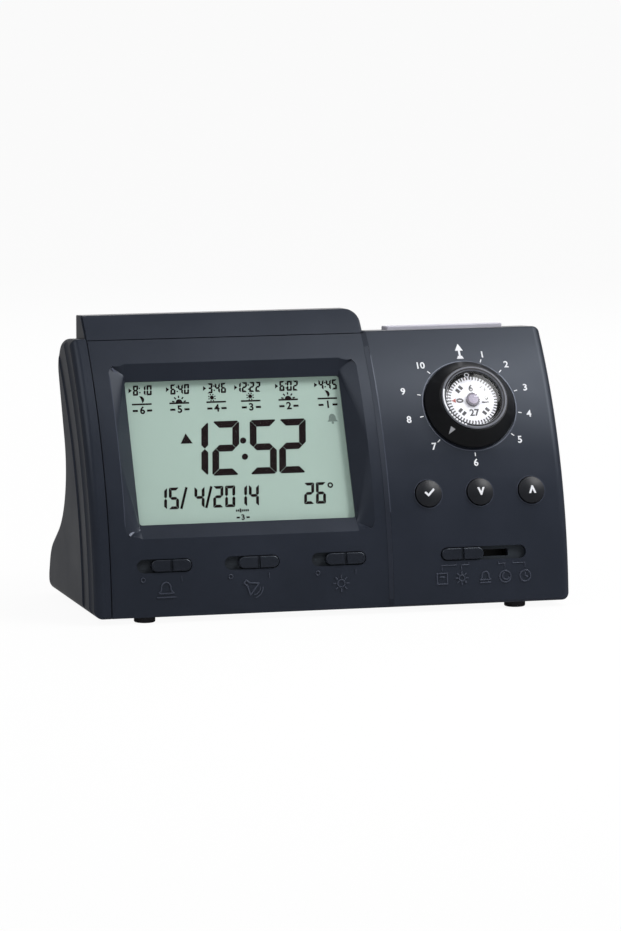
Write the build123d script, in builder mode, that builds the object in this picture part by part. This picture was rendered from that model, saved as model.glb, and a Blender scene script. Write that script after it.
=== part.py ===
"""Table clock with a liquid crystal display, a compass in its selector knob and slide switches.

Frame: +X to the viewer's right, +Y away from the viewer, +Z up.  The origin is the centre of the
bounding box's bottom, so the rubber feet stand on z = 0.  All sizes are in millimetres.
"""
import os
from math import asin, atan2, cos, degrees, radians, sin, sqrt, tan

from build123d import *

# ---------------------------------------------------------------- driving sizes
# Case
body_width = 175.0
body_depth = 78.0
body_height = 95.0          # flat base to the front top edge
foot_height = 2.2
front_radius = 157.0        # the front is part of a cylinder about an axis behind the clock
front_lean = 3.0            # lean of the front at its bottom edge, degrees
top_slope = 5.0             # fall of the top towards the back, degrees
brow_depth = 65.0           # corners of the back outline, from the front bottom edge, before rounding
brow_round = 10.5
waist_depth = 42.6
waist_height = 36.6
waist_round = 26.8
flare_inset = 3.4           # in from the back face
flare_height = 16.5
flare_round = 15.0
heel_height = 6.0
heel_round = 6.0
base_round = 4.0
side_round = 3.0            # round of the edges of both ends
edge_round = 1.2            # round of the front's top and bottom edges
front_wall = 3.0
case_wall = 2.2

# Parting line and the hollows of the ends
rim_depth = 10.4            # depth of the front bezel, square to the front
parting_gap = 0.35
cove_width = 7.6            # hollow that runs along each end of the bezel
cove_depth = 0.8
cove_inset = 2.2
band_width = 9.8            # shallow band behind the parting line
band_depth = 0.5

# Display panel, sunk between the left border and the right-hand section
panel_inset = 5.8           # from the left end of the case
control_width = 65.9        # right-hand section, with the knob and the buttons
panel_recess = 1.0
panel_bevel = 1.6
panel_groove = 0.6          # fine groove beside the left border

# Raised visor above the display panel
visor_rise = 7.4
visor_depth = 15.4          # at its foot
visor_end_inset = 0.8       # right end, in from the panel's edge
visor_top_fall = 3.0        # degrees
visor_corner = 5.0
visor_edge = 0.8

# Display surround, window and module
surround_arc = 60.9         # its middle, measured up the front from the bottom edge
surround_left = 6.5         # in from the panel's left and right edges
surround_right = 5.6
surround_height = 65.2
surround_corner = 4.0
surround_depth = 2.6
surround_wall = 3.5
window_inset = 6.1          # in from the ends of the surround
window_height = 53.4
window_corner = 1.0
window_lip = 0.6
window_seat = 3.5           # how far the window plate reaches behind the lip
window_thickness = 1.5
air_gap = 0.4               # between the window and the display glass
glass_border = 2.4          # how far the display glass reaches past the opening
glass_thickness = 2.2
guide_inset = 4.6           # light guide, in from the top and bottom of the glass
guide_thickness = 3.0
holder_wall = 1.6
holder_floor = 1.6
zebra_width = 2.4
zebra_edge = 1.1            # in from the edge of the display glass
led_size = 1.8
led_length = 3.6
board_thickness = 1.6
board_border = 3.2          # main board past the middle of its posts
post_radius = 2.3
post_gap = 0.4              # between a post and the display holder
pilot_radius = 1.0
board_hole = 1.2
board_screw_head = 2.0
board_screw_head_height = 1.3
board_screw_length = 4.5    # in the post
board_corner = 1.0
chip_radius = 7.0           # drop of black resin over the main chip
chip_height = 1.8
chip_x = 14.0
sound_chip_length = 13.0
sound_chip_width = 7.5
crystal_length = 10.5
crystal_width = 4.6
crystal_height = 3.5
sensor_radius = 1.6
sensor_height = 1.4

# Selector knob with its compass
knob_inset = 32.2           # its axis, in from the right end of the case
knob_arc = 72.7
knob_radius = 16.7
knob_top_radius = 12.6
knob_height = 6.4
knob_skirt = 1.4            # upright part of its side
knob_seat_depth = 0.9       # flat seat in the curved front
knob_seat_gap = 0.5
knob_rise = 0.3             # running gap under the knob
knob_floor = 1.6
shaft_radius = 4.5
shaft_clearance = 0.06
sleeve_radius = 7.0
sleeve_reach = 6.0          # end of the sleeve, below the front
rotor_radius = 12.0
rotor_thickness = 1.4
rotor_gap = 0.3
shaft_bore = 2.0
selector_steps = 11         # index places in a full turn; one is blank
selector_board_size = 36.0
selector_board_depth = 10.5
wiper_gap = 0.3
cup_radius = 11.8
cup_wall = 1.2
cup_floor = 1.0
card_radius = 9.4
card_thickness = 0.4
card_height = 3.5           # underside, above the front
jewel_radius = 2.3
jewel_height = 1.4
pivot_radius = 0.5
pivot_base_radius = 1.5
pivot_base_height = 0.35
pivot_clearance = 0.06
magnet_radius = 5.0
magnet_bore = 2.0
magnet_thickness = 1.0
dome_radius = 10.4
dome_rise = 2.6
dome_wall = 0.8
fit_clearance = 0.1         # round pieces that are set into others
ring_width = 1.5
ring_height = 0.9
knob_round = 0.5
wiper_thickness = 0.4
wiper_inner = 5.2
wiper_outer = 10.5
wiper_finger = 0.8
wiper_track = 8.4
notch_radius = 0.9
detent_thickness = 0.4
detent_length = 12.0
detent_nose = 0.7
detent_gap = 0.25

# Push buttons
button_arc = 40.1
button_pitch = 19.2
button_radius = 4.75
button_clearance = 0.25
button_edge = 0.9           # height of the cap's edge above the front
button_dome = 1.0
button_flange = 5.9
button_flange_thickness = 0.8
button_stem = 1.5
button_travel = 0.9
button_gap = 0.45           # between a flange and the back of the wall
button_board_margin = 3.0
button_board_height = 11.0
button_board_depth = 11.0
tact_size = 6.0
tact_height = 3.5
tact_bore = 1.9
tact_entry = 0.5            # how far a stem enters its switch at rest

# Slide switches
switch_arc = 18.2
switch_inset = 3.8          # ends of the outer pockets, in from the ends of the surround
switch_shift = -0.3
pocket_length = 20.0
pocket_height = 4.8
pocket_depth = 1.8
slide_knob_length = 14.6
slide_clearance = 0.3
slide_rise = 0.7            # knob above the front
slide_round = 0.5
notch_width = 1.1           # finger notch across the middle of a slide knob
notch_depth = 0.8
mode_inset = 32.3           # middle of the long switch, in from the right end of the case
mode_pocket_length = 31.8
mode_knob_length = 15.6
switch_pad = 4.4            # thickness of the front behind the pockets
slot_height = 2.4
slide_stem_length = 3.0
slide_stem_height = 1.6
switch_board_depth = 11.0
switch_board_height = 9.0
switch_board_margin = 4.0
slide_switch_length = 13.0
slide_switch_height = 5.6
slide_switch_deep = 4.0
mode_switch_length = 27.0
actuator_entry = 1.4        # how far a stem enters its switch

# Light key in the top
key_inset = 35.4            # its middle, in from the right end of the case
key_length = 44.0
key_depth = 6.6
key_setback = 6.3           # its middle, back from the front top edge
key_rise = 1.5
key_clearance = 0.25
key_tab = 1.2
key_tab_thickness = 0.9
key_stop_gap = 0.3          # between the tabs and the top wall
key_corner = 1.0
key_stem = 1.2
key_socket_gap = 0.4
key_travel = 0.8
key_board_depth = 6.6
key_board_length = 24.0
key_board_thickness = 1.2
key_board_width = 9.0
key_switch_height = 2.2
key_switch_entry = 0.4
key_rib_spacing = 16.0
key_rib_thickness = 2.0
key_rib_depth = 2.5

# Battery compartment in the flared back
cell_radius = 7.25
cell_length = 50.5
bay_inset = 43.5            # its middle, in from the left end of the case
bay_turn = 7.9              # the door is steeper than the line from waist to flare, degrees
bay_share = 0.466           # place of the door's middle along that line
bay_lift = 0.76             # and above it
bay_wall = 1.6
cell_depth = 10.8           # middle of the cells, below the door's plane
cell_room = 0.35            # round each cell
cell_nub_radius = 2.75
cell_nub_length = 1.0
contact_thickness = 0.5
contact_size = 11.0
contact_boss = 0.7
battery_spring_length = 5.5
battery_spring_radius = 3.6
battery_spring_wire = 0.35
battery_spring_turns = 3
cell_spacing = 0.5
door_ledge = 1.0            # overlap of the door on the walls of the bay
door_gap = 0.3
grip_rows = 3               # finger grooves in the door
grip_length = 16.0
grip_width = 1.2
grip_pitch = 2.4
grip_inset = 4.0
grip_depth = 0.6

# Speaker
speaker_inset = 51.5        # its axis, in from the right end of the case
speaker_height = 62.0       # above the base
speaker_radius = 20.0
speaker_depth = 12.0
speaker_setback = 5.0       # its rim, below the outer face of the back wall
speaker_rim = 2.2
speaker_rim_thickness = 1.2
speaker_collar = 1.8
speaker_sheet = 0.8
voice_coil_radius = 5.0
cone_depth = 4.6
cone_sheet = 0.5
grille_radius = 16.5
magnet_disc_radius = 10.0
magnet_disc_height = 4.5
slot_width = 1.8
slot_pitch = 4.0

# Fasteners and feet
boss_radius = 3.4
pillar_radius = 4.4
screw_head_radius = 2.6
screw_head_height = 1.5
screw_head_clearance = 0.3
screw_hole = 1.4
top_screw_inset = 8.5       # in from the ends of the case
top_screw_height = 85.8
base_screw_inset = 27.5
base_screw_depth = 19.0
screw_floor = 3.0           # material under a screw's head
screw_pilot = 1.1           # also the radius of the thread
lug_height = 4.6            # its underside, above the base
lug_thickness = 3.0
lug_width = 12.0
foot_radius = 3.8
foot_end_inset = 19.2       # in from the ends of the case
foot_inset = 6.2
rear_foot_inset = 9.0
foot_pocket = 0.6
foot_round = 0.5
tip_gap = 0.3               # beyond the tip of a screw

# ---------------------------------------------------------------- places worked out from them
half_width = body_width / 2
front_y = -body_depth / 2
base_z = foot_height
axis_y = front_y + front_radius * cos(radians(front_lean))
axis_z = base_z - front_radius * sin(radians(front_lean))
front_axis = Axis((0, axis_y, axis_z), (1, 0, 0))
top_lean = degrees(asin(sin(radians(front_lean)) + body_height / front_radius))
panel_radius = front_radius - panel_recess
panel_left = panel_inset - half_width
panel_right = half_width - control_width
surround_width = panel_right - panel_left - surround_left - surround_right
display_x = panel_left + surround_left + surround_width / 2
window_width = surround_width - 2 * window_inset
knob_x = half_width - knob_inset
mode_x = half_width - mode_inset
key_x = half_width - key_inset
bay_x = bay_inset - half_width
speaker_x = half_width - speaker_inset
top_screw_x = half_width - top_screw_inset
base_screw_x = half_width - base_screw_inset
foot_x = half_width - foot_end_inset
reach = 2 * body_width      # longer than anything that it has to cut


def front_point(lean, radius=front_radius):
    """(y, z) of the point of the front that leans by so many degrees."""
    return (axis_y - radius * cos(radians(lean)), axis_z + radius * sin(radians(lean)))


def front_plane(x, arc, depth=0.0):
    """Plane that touches the front at x and a height along its arc, or lies below it."""
    lean = front_lean + degrees(arc / front_radius)
    y, z = front_point(lean, front_radius - depth)
    return Plane(origin=(x, y, z), x_dir=(1, 0, 0), z_dir=(0, -cos(radians(lean)), sin(radians(lean))))


def section_of(plane):
    """Plane through the axis of another plane: its y is that plane's height."""
    return Plane(origin=plane.origin, x_dir=plane.x_dir, z_dir=-plane.y_dir)


def spindle(plane):
    return Axis(plane.origin, plane.z_dir)


def rectangle_on(plane, width, height, radius=0.0, places=((0, 0),)):
    with BuildSketch(plane) as outline:
        with Locations(*places):
            if radius > 0:
                RectangleRounded(width, height, radius)
            else:
                Rectangle(width, height)
    return outline.sketch


def circle_on(plane, radius, places=((0, 0),)):
    with BuildSketch(plane) as outline:
        with Locations(*places):
            Circle(radius)
    return outline.sketch


def slot_on(plane, length, height, places=((0, 0),)):
    with BuildSketch(plane) as outline:
        with Locations(*places):
            SlotOverall(length, height)
    return outline.sketch


def outline_on(plane, *points):
    with BuildSketch(plane) as outline:
        with BuildLine():
            Polyline(*points, close=True)
        make_face()
    return outline.sketch


def drum(radius, length=reach):
    """Solid cylinder about the axis of the curved front."""
    plane = Plane(origin=(0, axis_y, axis_z), x_dir=(0, 1, 0), z_dir=(1, 0, 0))
    return extrude(circle_on(plane, radius), amount=length / 2, both=True, mode=Mode.PRIVATE)


def top_z(y):
    """Height of the sloping top at y."""
    return top_front[1] - (y - top_front[0]) * tan(radians(top_slope))


def from_corner(depth, height):
    """(y, z) of a point given from the front bottom edge."""
    return (front_y + depth, base_z + height)


def rim_y(z):
    """y of the parting line at a height."""
    return axis_y - sqrt((front_radius - rim_depth) ** 2 - (z - axis_z) ** 2)


top_front = front_point(top_lean)
rim_section = Plane(origin=(0, axis_y, axis_z), x_dir=(1, 0, 0), z_dir=(0, 0, -1))

# ---------------------------------------------------------------- outer form of the case
brow = (front_y + brow_depth, top_z(front_y + brow_depth))
waist = from_corner(waist_depth, waist_height)
flare = from_corner(body_depth - flare_inset, flare_height)
heel = from_corner(body_depth, heel_height)
with BuildSketch(Plane.YZ) as side_profile:
    with BuildLine():
        ThreePointArc(from_corner(0, 0), front_point((front_lean + top_lean) / 2), top_front)
        FilletPolyline(top_front, brow, waist, flare, heel, from_corner(body_depth, 0), from_corner(0, 0),
                       radius=(brow_round, waist_round, flare_round, heel_round, base_round))
    make_face()

with BuildPart() as envelope:
    extrude(side_profile.sketch, amount=half_width, both=True)
    fillet(envelope.faces().filter_by(Axis.X).edges(), side_round)
    fillet(envelope.edges().filter_by(Axis.X).sort_by(Axis.Y)[0], edge_round)
    fillet(envelope.edges().filter_by(Axis.X).filter_by(lambda edge: edge.length > body_width / 2)
           .sort_by(lambda edge: abs(edge.center().Z - top_front[1]))[0], edge_round)

with BuildPart() as cavity:
    with BuildSketch(Plane.YZ) as cavity_profile:
        add(side_profile.sketch_local)
        offset(amount=-case_wall, kind=Kind.INTERSECTION, mode=Mode.REPLACE)
    extrude(amount=half_width - case_wall, both=True)
    add(drum(front_radius - front_wall), mode=Mode.INTERSECT)

# Visor: it carries the panel's curve on upwards and ends in an upright back
visor_right = panel_right - visor_end_inset
visor_middle = (panel_left + visor_right) / 2
visor_width = visor_right - panel_left
visor_top_z = base_z + body_height + visor_rise
visor_back_y = top_front[0] + visor_depth


def visor_profile(wall):
    """Side outline of the visor, or of its hollow where a wall is given."""
    radius = panel_radius - wall
    peak_lean = degrees(asin((visor_top_z - wall - axis_z) / radius))
    foot_lean = top_lean - degrees(3 * case_wall / front_radius)
    peak = front_point(peak_lean, radius)
    back_y = visor_back_y - wall
    back_z = peak[1] - (back_y - peak[0]) * tan(radians(visor_top_fall))
    foot = front_point(foot_lean, radius)
    with BuildSketch(Plane.YZ.offset(visor_middle)) as outline:
        with BuildLine():
            ThreePointArc(foot, front_point((foot_lean + peak_lean) / 2, radius), peak)
            Polyline(peak, (back_y, back_z), (back_y, foot[1]), foot)
        make_face()
    return outline.sketch


with BuildPart() as visor_form:
    extrude(visor_profile(0), amount=visor_width / 2, both=True)
    visor_top = visor_form.faces().sort_by(Axis.Z)[-1]
    fillet(visor_top.edges().sort_by(Axis.X)[-1], visor_corner)
    visor_crown = visor_form.faces().sort_by(Axis.Z)[-1]
    fillet(visor_crown.edges().filter_by(Axis.X), visor_edge)

with BuildPart() as visor_hollow:
    extrude(visor_profile(case_wall), amount=visor_width / 2 - case_wall, both=True)
    hollow_top = visor_hollow.faces().sort_by(Axis.Z)[-1]
    fillet(hollow_top.edges().sort_by(Axis.X)[-1], visor_corner - case_wall)

# Hollows that follow the curve of the front: the sunk panel, the coves and bands of the ends
with BuildPart() as panel_cut:
    with BuildSketch(rim_section):
        with BuildLine():
            Polyline(
                (panel_left, front_radius + 3),
                (panel_left, panel_radius - panel_groove),
                (panel_left + panel_groove, panel_radius - panel_groove),
                (panel_left + panel_groove, panel_radius),
                (panel_right - panel_bevel, panel_radius),
                (panel_right, front_radius),
                (panel_right, front_radius + 3),
                close=True,
            )
        make_face()
    revolve(axis=front_axis)

cove_arc_radius = (cove_width**2 / 4 + cove_depth**2) / (2 * cove_depth)
cove_x = half_width + cove_arc_radius - cove_depth
with BuildPart() as cove_cut:
    with BuildSketch(rim_section):
        with Locations((cove_x, front_radius - cove_inset - cove_width / 2),
                       (-cove_x, front_radius - cove_inset - cove_width / 2)):
            Circle(cove_arc_radius)
    revolve(axis=front_axis)

band_front = front_radius - rim_depth - parting_gap / 2
with BuildPart() as band_cut:
    with BuildSketch(rim_section) as band_outline:
        with BuildLine():
            Polyline(
                (half_width + 1, band_front),
                (half_width - band_depth, band_front),
                (half_width - band_depth, band_front - band_width + band_depth),
                (half_width, band_front - band_width),
                (half_width + 1, band_front - band_width),
                close=True,
            )
        make_face()
        mirror(about=Plane.YZ)
    revolve(axis=front_axis)

with BuildPart() as case_shell:
    add(envelope.part)
    add(visor_form.part)
    add(cavity.part, mode=Mode.SUBTRACT)
    add(visor_hollow.part, mode=Mode.SUBTRACT)
    add(panel_cut.part, mode=Mode.SUBTRACT)
    add(cove_cut.part, mode=Mode.SUBTRACT)
    add(band_cut.part, mode=Mode.SUBTRACT)


def visor_zone(clearance):
    """The part of the case that belongs to the visor: above a cut that is square to the front."""
    lean = top_lean - degrees(clearance / front_radius)
    inner = front_point(lean, front_radius - 2 * rim_depth)
    outer = front_point(lean, front_radius + rim_depth)
    ceiling = visor_top_z + 2 * visor_rise
    zone = outline_on(Plane.YZ.offset(visor_middle), inner, outer,
                      (outer[0], ceiling), (body_depth, ceiling), (body_depth, inner[1]))
    return extrude(zone, amount=visor_width / 2 + clearance, both=True, mode=Mode.PRIVATE)


# ---------------------------------------------------------------- front bezel
surround_lean = front_lean + degrees(surround_arc / front_radius)
chord_radius = sqrt(panel_radius**2 - surround_height**2 / 4)
sagitta = panel_radius - chord_radius
lip_end = surround_depth + window_lip
window_back = lip_end + window_thickness
glass_back = window_back + air_gap + glass_thickness
guide_back = glass_back + guide_thickness
board_front = guide_back + holder_floor
board_back = board_front + board_thickness
glass_width = window_width + 2 * glass_border
glass_height = window_height + 2 * glass_border
holder_width = glass_width + 2 * holder_wall
holder_height = glass_height + 2 * holder_wall
post_x = holder_width / 2 + post_gap + post_radius
post_u = window_height / 2
main_posts = [(post_x, post_u), (-post_x, post_u), (post_x, -post_u), (-post_x, -post_u)]


def display_plane(depth):
    """Plane of the display, below the chord of its surround."""
    y, z = front_point(surround_lean, chord_radius - depth)
    lean = radians(surround_lean)
    return Plane(origin=(display_x, y, z), x_dir=(1, 0, 0), z_dir=(0, -cos(lean), sin(lean)))


def surround_section(x):
    """Cross-section plane of the surround: x runs up the display, y out of it."""
    y, z = front_point(surround_lean, chord_radius)
    lean = radians(surround_lean)
    return Plane(origin=(display_x + x, y, z), x_dir=(0, sin(lean), cos(lean)), z_dir=(1, 0, 0))


def surround_end(x):
    """Section where the sloping wall comes up to the curved panel."""
    half = surround_height / 2
    above = sagitta + 2
    with BuildSketch(surround_section(x)) as outline:
        with BuildLine():
            Polyline((half, 0), (half, above / 2), (half, above), (-half, above), (-half, above / 2), (-half, 0))
            ThreePointArc((-half, 0), (0, sagitta), (half, 0))
        make_face()
    return outline.sketch


def surround_middle(x):
    """Section across the window."""
    half = surround_height / 2
    above = sagitta + 2
    return outline_on(surround_section(x), (half, 0), (half, above), (-half, above), (-half, 0),
                      (-window_height / 2, -surround_depth), (window_height / 2, -surround_depth))


with BuildPart() as surround_cut:
    loft(sections=[surround_end(-surround_width / 2), surround_middle(-window_width / 2)], ruled=True)
    loft(sections=[surround_middle(-window_width / 2), surround_middle(window_width / 2)], ruled=True)
    loft(sections=[surround_middle(window_width / 2), surround_end(surround_width / 2)], ruled=True)
    extrude(rectangle_on(display_plane(surround_depth + 1), surround_width, surround_height, surround_corner),
            amount=surround_depth + sagitta + 4, mode=Mode.INTERSECT)
    extrude(rectangle_on(display_plane(lip_end + 1), window_width, window_height, window_corner),
            amount=window_lip + 2)

with BuildPart() as display_backing:
    extrude(rectangle_on(display_plane(lip_end), surround_width + 2 * surround_wall,
                         surround_height + 2 * surround_wall, surround_corner), amount=lip_end + sagitta)
    add(drum(panel_radius - edge_round), mode=Mode.INTERSECT)

button_places = [knob_x - button_pitch, knob_x, knob_x + button_pitch]
switch_pitch = (surround_width - 2 * switch_inset - pocket_length) / 2
switch_middle = display_x + switch_shift
switch_places = [switch_middle - switch_pitch, switch_middle, switch_middle + switch_pitch]
button_posts = [(-button_pitch / 2, 0), (button_pitch / 2, 0)]
board_left = switch_places[0] - pocket_length / 2 - switch_board_margin
board_right = mode_x + mode_pocket_length / 2 + switch_board_margin
switch_posts = [
    (switch_middle - switch_pitch / 2, 0),
    (switch_middle + switch_pitch / 2, 0),
    ((switch_places[-1] + pocket_length / 2 + mode_x - mode_pocket_length / 2) / 2, 0),
]
selector_post = selector_board_size / 2 - board_border
selector_posts = [(selector_post, selector_post), (-selector_post, selector_post),
                  (selector_post, -selector_post), (-selector_post, -selector_post)]
wall_bite = panel_recess + (front_wall - panel_recess) / 2   # depth inside the front wall everywhere

# The front face of each circuit board, the posts that carry it and their length
main_seat = (display_plane(board_front), main_posts, board_front - lip_end)
selector_seat = (front_plane(knob_x, knob_arc, selector_board_depth), selector_posts,
                 selector_board_depth - wall_bite)
button_seat = (front_plane(knob_x, button_arc, button_board_depth), button_posts,
               button_board_depth - wall_bite)
switch_seat = (front_plane(0, switch_arc, switch_board_depth), switch_posts, switch_board_depth - wall_bite)
board_seats = (main_seat, selector_seat, button_seat, switch_seat)

slide_travel = pocket_length - slide_knob_length - 2 * slide_clearance
mode_travel = mode_pocket_length - mode_knob_length - 2 * slide_clearance
slot_length = slide_travel + slide_stem_length + 2 * slide_clearance
mode_slot_length = mode_travel + slide_stem_length + 2 * slide_clearance
top_screw_z = base_z + top_screw_height
top_seat_y = rim_y(top_screw_z)
top_screws = [(top_screw_x, top_screw_z), (-top_screw_x, top_screw_z)]
base_screws = [(base_screw_x, front_y + base_screw_depth), (-base_screw_x, front_y + base_screw_depth)]
front_feet = [(foot_x, front_y + foot_inset), (-foot_x, front_y + foot_inset)]
rear_feet = [(foot_x, -front_y - rear_foot_inset), (-foot_x, -front_y - rear_foot_inset)]


def back_plane(y):
    """Upright plane at y that faces the viewer: its x is X and its y is Z."""
    return Plane(origin=(0, y, 0), x_dir=(1, 0, 0), z_dir=(0, -1, 0))


def level(z):
    return Plane.XY.offset(z)


slope = radians(top_slope)
key_y = top_front[0] + key_setback


def key_plane(depth=0.0):
    """Plane of the sloping top at the light key: its y runs backwards."""
    origin = (key_x, key_y - depth * sin(slope), top_z(key_y) - depth * cos(slope))
    return Plane(origin=origin, x_dir=(1, 0, 0), z_dir=(0, sin(slope), cos(slope)))


key_rib_back = key_depth / 2
key_rib_front = -(key_setback + key_board_depth)
with BuildPart() as key_ribs:
    extrude(
        rectangle_on(
            key_plane(key_board_depth + key_board_thickness), key_rib_thickness,
            key_rib_back - key_rib_front,
            places=[(-key_rib_spacing / 2, (key_rib_back + key_rib_front) / 2),
                    (key_rib_spacing / 2, (key_rib_back + key_rib_front) / 2)],
        ),
        amount=-key_rib_depth,
    )
    add(drum(front_radius - wall_bite), mode=Mode.INTERSECT)

with BuildPart() as top_bosses:
    extrude(circle_on(back_plane(top_seat_y), boss_radius, top_screws), amount=body_depth)
    add(drum(front_radius - wall_bite), mode=Mode.INTERSECT)

with BuildPart() as front_bezel:
    add(case_shell.part)
    add(drum(front_radius - rim_depth), mode=Mode.SUBTRACT)
    add(visor_zone(parting_gap), mode=Mode.SUBTRACT)
    add(display_backing.part)
    # thicker pads behind the switch pockets
    for x in switch_places:
        extrude(rectangle_on(front_plane(x, switch_arc, switch_pad), pocket_length + 5, pocket_height + 4),
                amount=switch_pad - wall_bite)
    extrude(rectangle_on(front_plane(mode_x, switch_arc, switch_pad), mode_pocket_length + 5, pocket_height + 4),
            amount=switch_pad - wall_bite)
    for seat, places, length in board_seats:
        extrude(circle_on(seat, post_radius, places), amount=length)
    add(key_ribs.part)
    add(top_bosses.part)
    # lugs that lie over the floor of the rear housing
    for x, y in base_screws:
        lug_front = front_y + case_wall
        lug_back = y + lug_width / 2
        extrude(rectangle_on(level(base_z + lug_height), lug_width, lug_back - lug_front,
                             places=[(x, (lug_back + lug_front) / 2)]), amount=lug_thickness)
        web_back = front_y + rim_depth - parting_gap - case_wall
        extrude(rectangle_on(level(base_z + case_wall / 2), lug_width, web_back - lug_front,
                             places=[(x, (web_back + lug_front) / 2)]), amount=lug_height - case_wall / 2)
    # sleeve and flat seat of the selector
    extrude(circle_on(front_plane(knob_x, knob_arc, sleeve_reach), sleeve_radius),
            amount=sleeve_reach - wall_bite)
    extrude(circle_on(front_plane(knob_x, knob_arc, knob_seat_depth), knob_radius + knob_seat_gap),
            amount=front_wall, mode=Mode.SUBTRACT)
    extrude(circle_on(front_plane(knob_x, knob_arc), shaft_radius + shaft_clearance),
            amount=-(sleeve_reach + 1), mode=Mode.SUBTRACT)
    add(surround_cut.part, mode=Mode.SUBTRACT)
    # holes for the buttons, pockets and slots for the slide knobs, hole for the light key
    for x in button_places:
        extrude(circle_on(front_plane(x, button_arc, -1), button_radius + button_clearance),
                amount=-(front_wall + 2), mode=Mode.SUBTRACT)
    for x in switch_places:
        extrude(slot_on(front_plane(x, switch_arc, panel_recess + pocket_depth), pocket_length, pocket_height),
                amount=front_wall, mode=Mode.SUBTRACT)
        extrude(rectangle_on(front_plane(x, switch_arc), slot_length, slot_height),
                amount=-(switch_pad + 1), mode=Mode.SUBTRACT)
    extrude(slot_on(front_plane(mode_x, switch_arc, pocket_depth), mode_pocket_length, pocket_height),
            amount=front_wall, mode=Mode.SUBTRACT)
    extrude(rectangle_on(front_plane(mode_x, switch_arc), mode_slot_length, slot_height),
            amount=-(switch_pad + 1), mode=Mode.SUBTRACT)
    extrude(rectangle_on(key_plane(case_wall + 1), key_length + 2 * key_clearance,
                         key_depth + 2 * key_clearance, key_corner), amount=case_wall + 2, mode=Mode.SUBTRACT)
    # pilot holes and pockets for the feet
    for seat, places, length in board_seats:
        extrude(circle_on(seat, pilot_radius, places), amount=board_screw_length, mode=Mode.SUBTRACT)
    extrude(circle_on(back_plane(top_seat_y), screw_pilot, top_screws), amount=2 * boss_radius, mode=Mode.SUBTRACT)
    extrude(circle_on(level(base_z + lug_height), screw_pilot, base_screws), amount=lug_thickness, mode=Mode.SUBTRACT)
    extrude(circle_on(level(base_z), foot_radius, front_feet), amount=foot_pocket, mode=Mode.SUBTRACT)

# ---------------------------------------------------------------- rear housing
tilt = radians(bay_turn) + atan2(waist[1] - flare[1], flare[0] - waist[0])
door_middle = (waist[0] + bay_share * (flare[0] - waist[0]),
               waist[1] + bay_share * (flare[1] - waist[1]) + bay_lift)
bay_length = cell_length + contact_boss + battery_spring_length + 2 * contact_thickness
cell_pitch = 2 * cell_radius + cell_spacing
bay_breadth = cell_pitch + 2 * (cell_radius + cell_room)
bay_floor = cell_depth + cell_radius + cell_room
door_length = bay_length + 2 * door_ledge
door_breadth = bay_breadth + 2 * door_ledge


def door_plane(depth=0.0):
    """Plane of the battery door, or one below it: its y runs down the slope."""
    origin = (bay_x, door_middle[0] - depth * sin(tilt), door_middle[1] - depth * cos(tilt))
    return Plane(origin=origin, x_dir=(1, 0, 0), z_dir=(0, sin(tilt), cos(tilt)))


def door_block(grow):
    """Block through the case wall, larger than the door by so much all round."""
    outline = rectangle_on(door_plane(cell_depth), door_length + 2 * grow, door_breadth + 2 * grow)
    return extrude(outline, amount=2 * cell_depth, mode=Mode.PRIVATE)


with BuildPart() as bay_tray:
    extrude(rectangle_on(door_plane(bay_floor + bay_wall), bay_length + 2 * bay_wall, bay_breadth + 2 * bay_wall),
            amount=bay_floor + bay_wall + cell_depth)
    add(envelope.part, mode=Mode.INTERSECT)

with BuildPart() as door_opening:
    add(door_block(door_gap))
    seat_drop = (0, -door_gap * sin(tilt), -door_gap * cos(tilt))
    add(cavity.part.moved(Location(seat_drop)), mode=Mode.SUBTRACT)

lean_back = atan2(brow[0] - waist[0], brow[1] - waist[1])
speaker_z = base_z + speaker_height
speaker_middle = (brow[0] - (brow[1] - speaker_z) * tan(lean_back), speaker_z)


def speaker_plane(depth=0.0):
    """Plane of the back wall at the speaker, or one below it."""
    origin = (speaker_x, speaker_middle[0] - depth * cos(lean_back), speaker_middle[1] + depth * sin(lean_back))
    return Plane(origin=origin, x_dir=(1, 0, 0), z_dir=(0, cos(lean_back), -sin(lean_back)))


collar_depth = speaker_setback + speaker_rim_thickness
with BuildPart() as speaker_seat:
    extrude(circle_on(speaker_plane(collar_depth), speaker_radius + speaker_collar), amount=2 * collar_depth)
    extrude(circle_on(speaker_plane(collar_depth), speaker_radius + fit_clearance),
            amount=speaker_rim_thickness, mode=Mode.SUBTRACT)
    extrude(circle_on(speaker_plane(speaker_setback), speaker_radius - speaker_rim),
            amount=speaker_setback + collar_depth, mode=Mode.SUBTRACT)
    add(envelope.part, mode=Mode.INTERSECT)

with BuildPart() as grille_cut:
    with BuildSketch(speaker_plane(speaker_setback)):
        with GridLocations(slot_pitch, slot_pitch, 1, int(2 * grille_radius / slot_pitch)):
            Rectangle(2 * grille_radius, slot_width)
        Circle(grille_radius, mode=Mode.INTERSECT)
    extrude(amount=2 * speaker_setback)

with BuildPart() as visor_shell:
    add(case_shell.part)
    add(visor_zone(0), mode=Mode.INTERSECT)

with BuildPart() as top_pillars:
    extrude(circle_on(back_plane(top_seat_y), pillar_radius, top_screws), amount=-body_depth)
    add(envelope.part, mode=Mode.INTERSECT)

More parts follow.
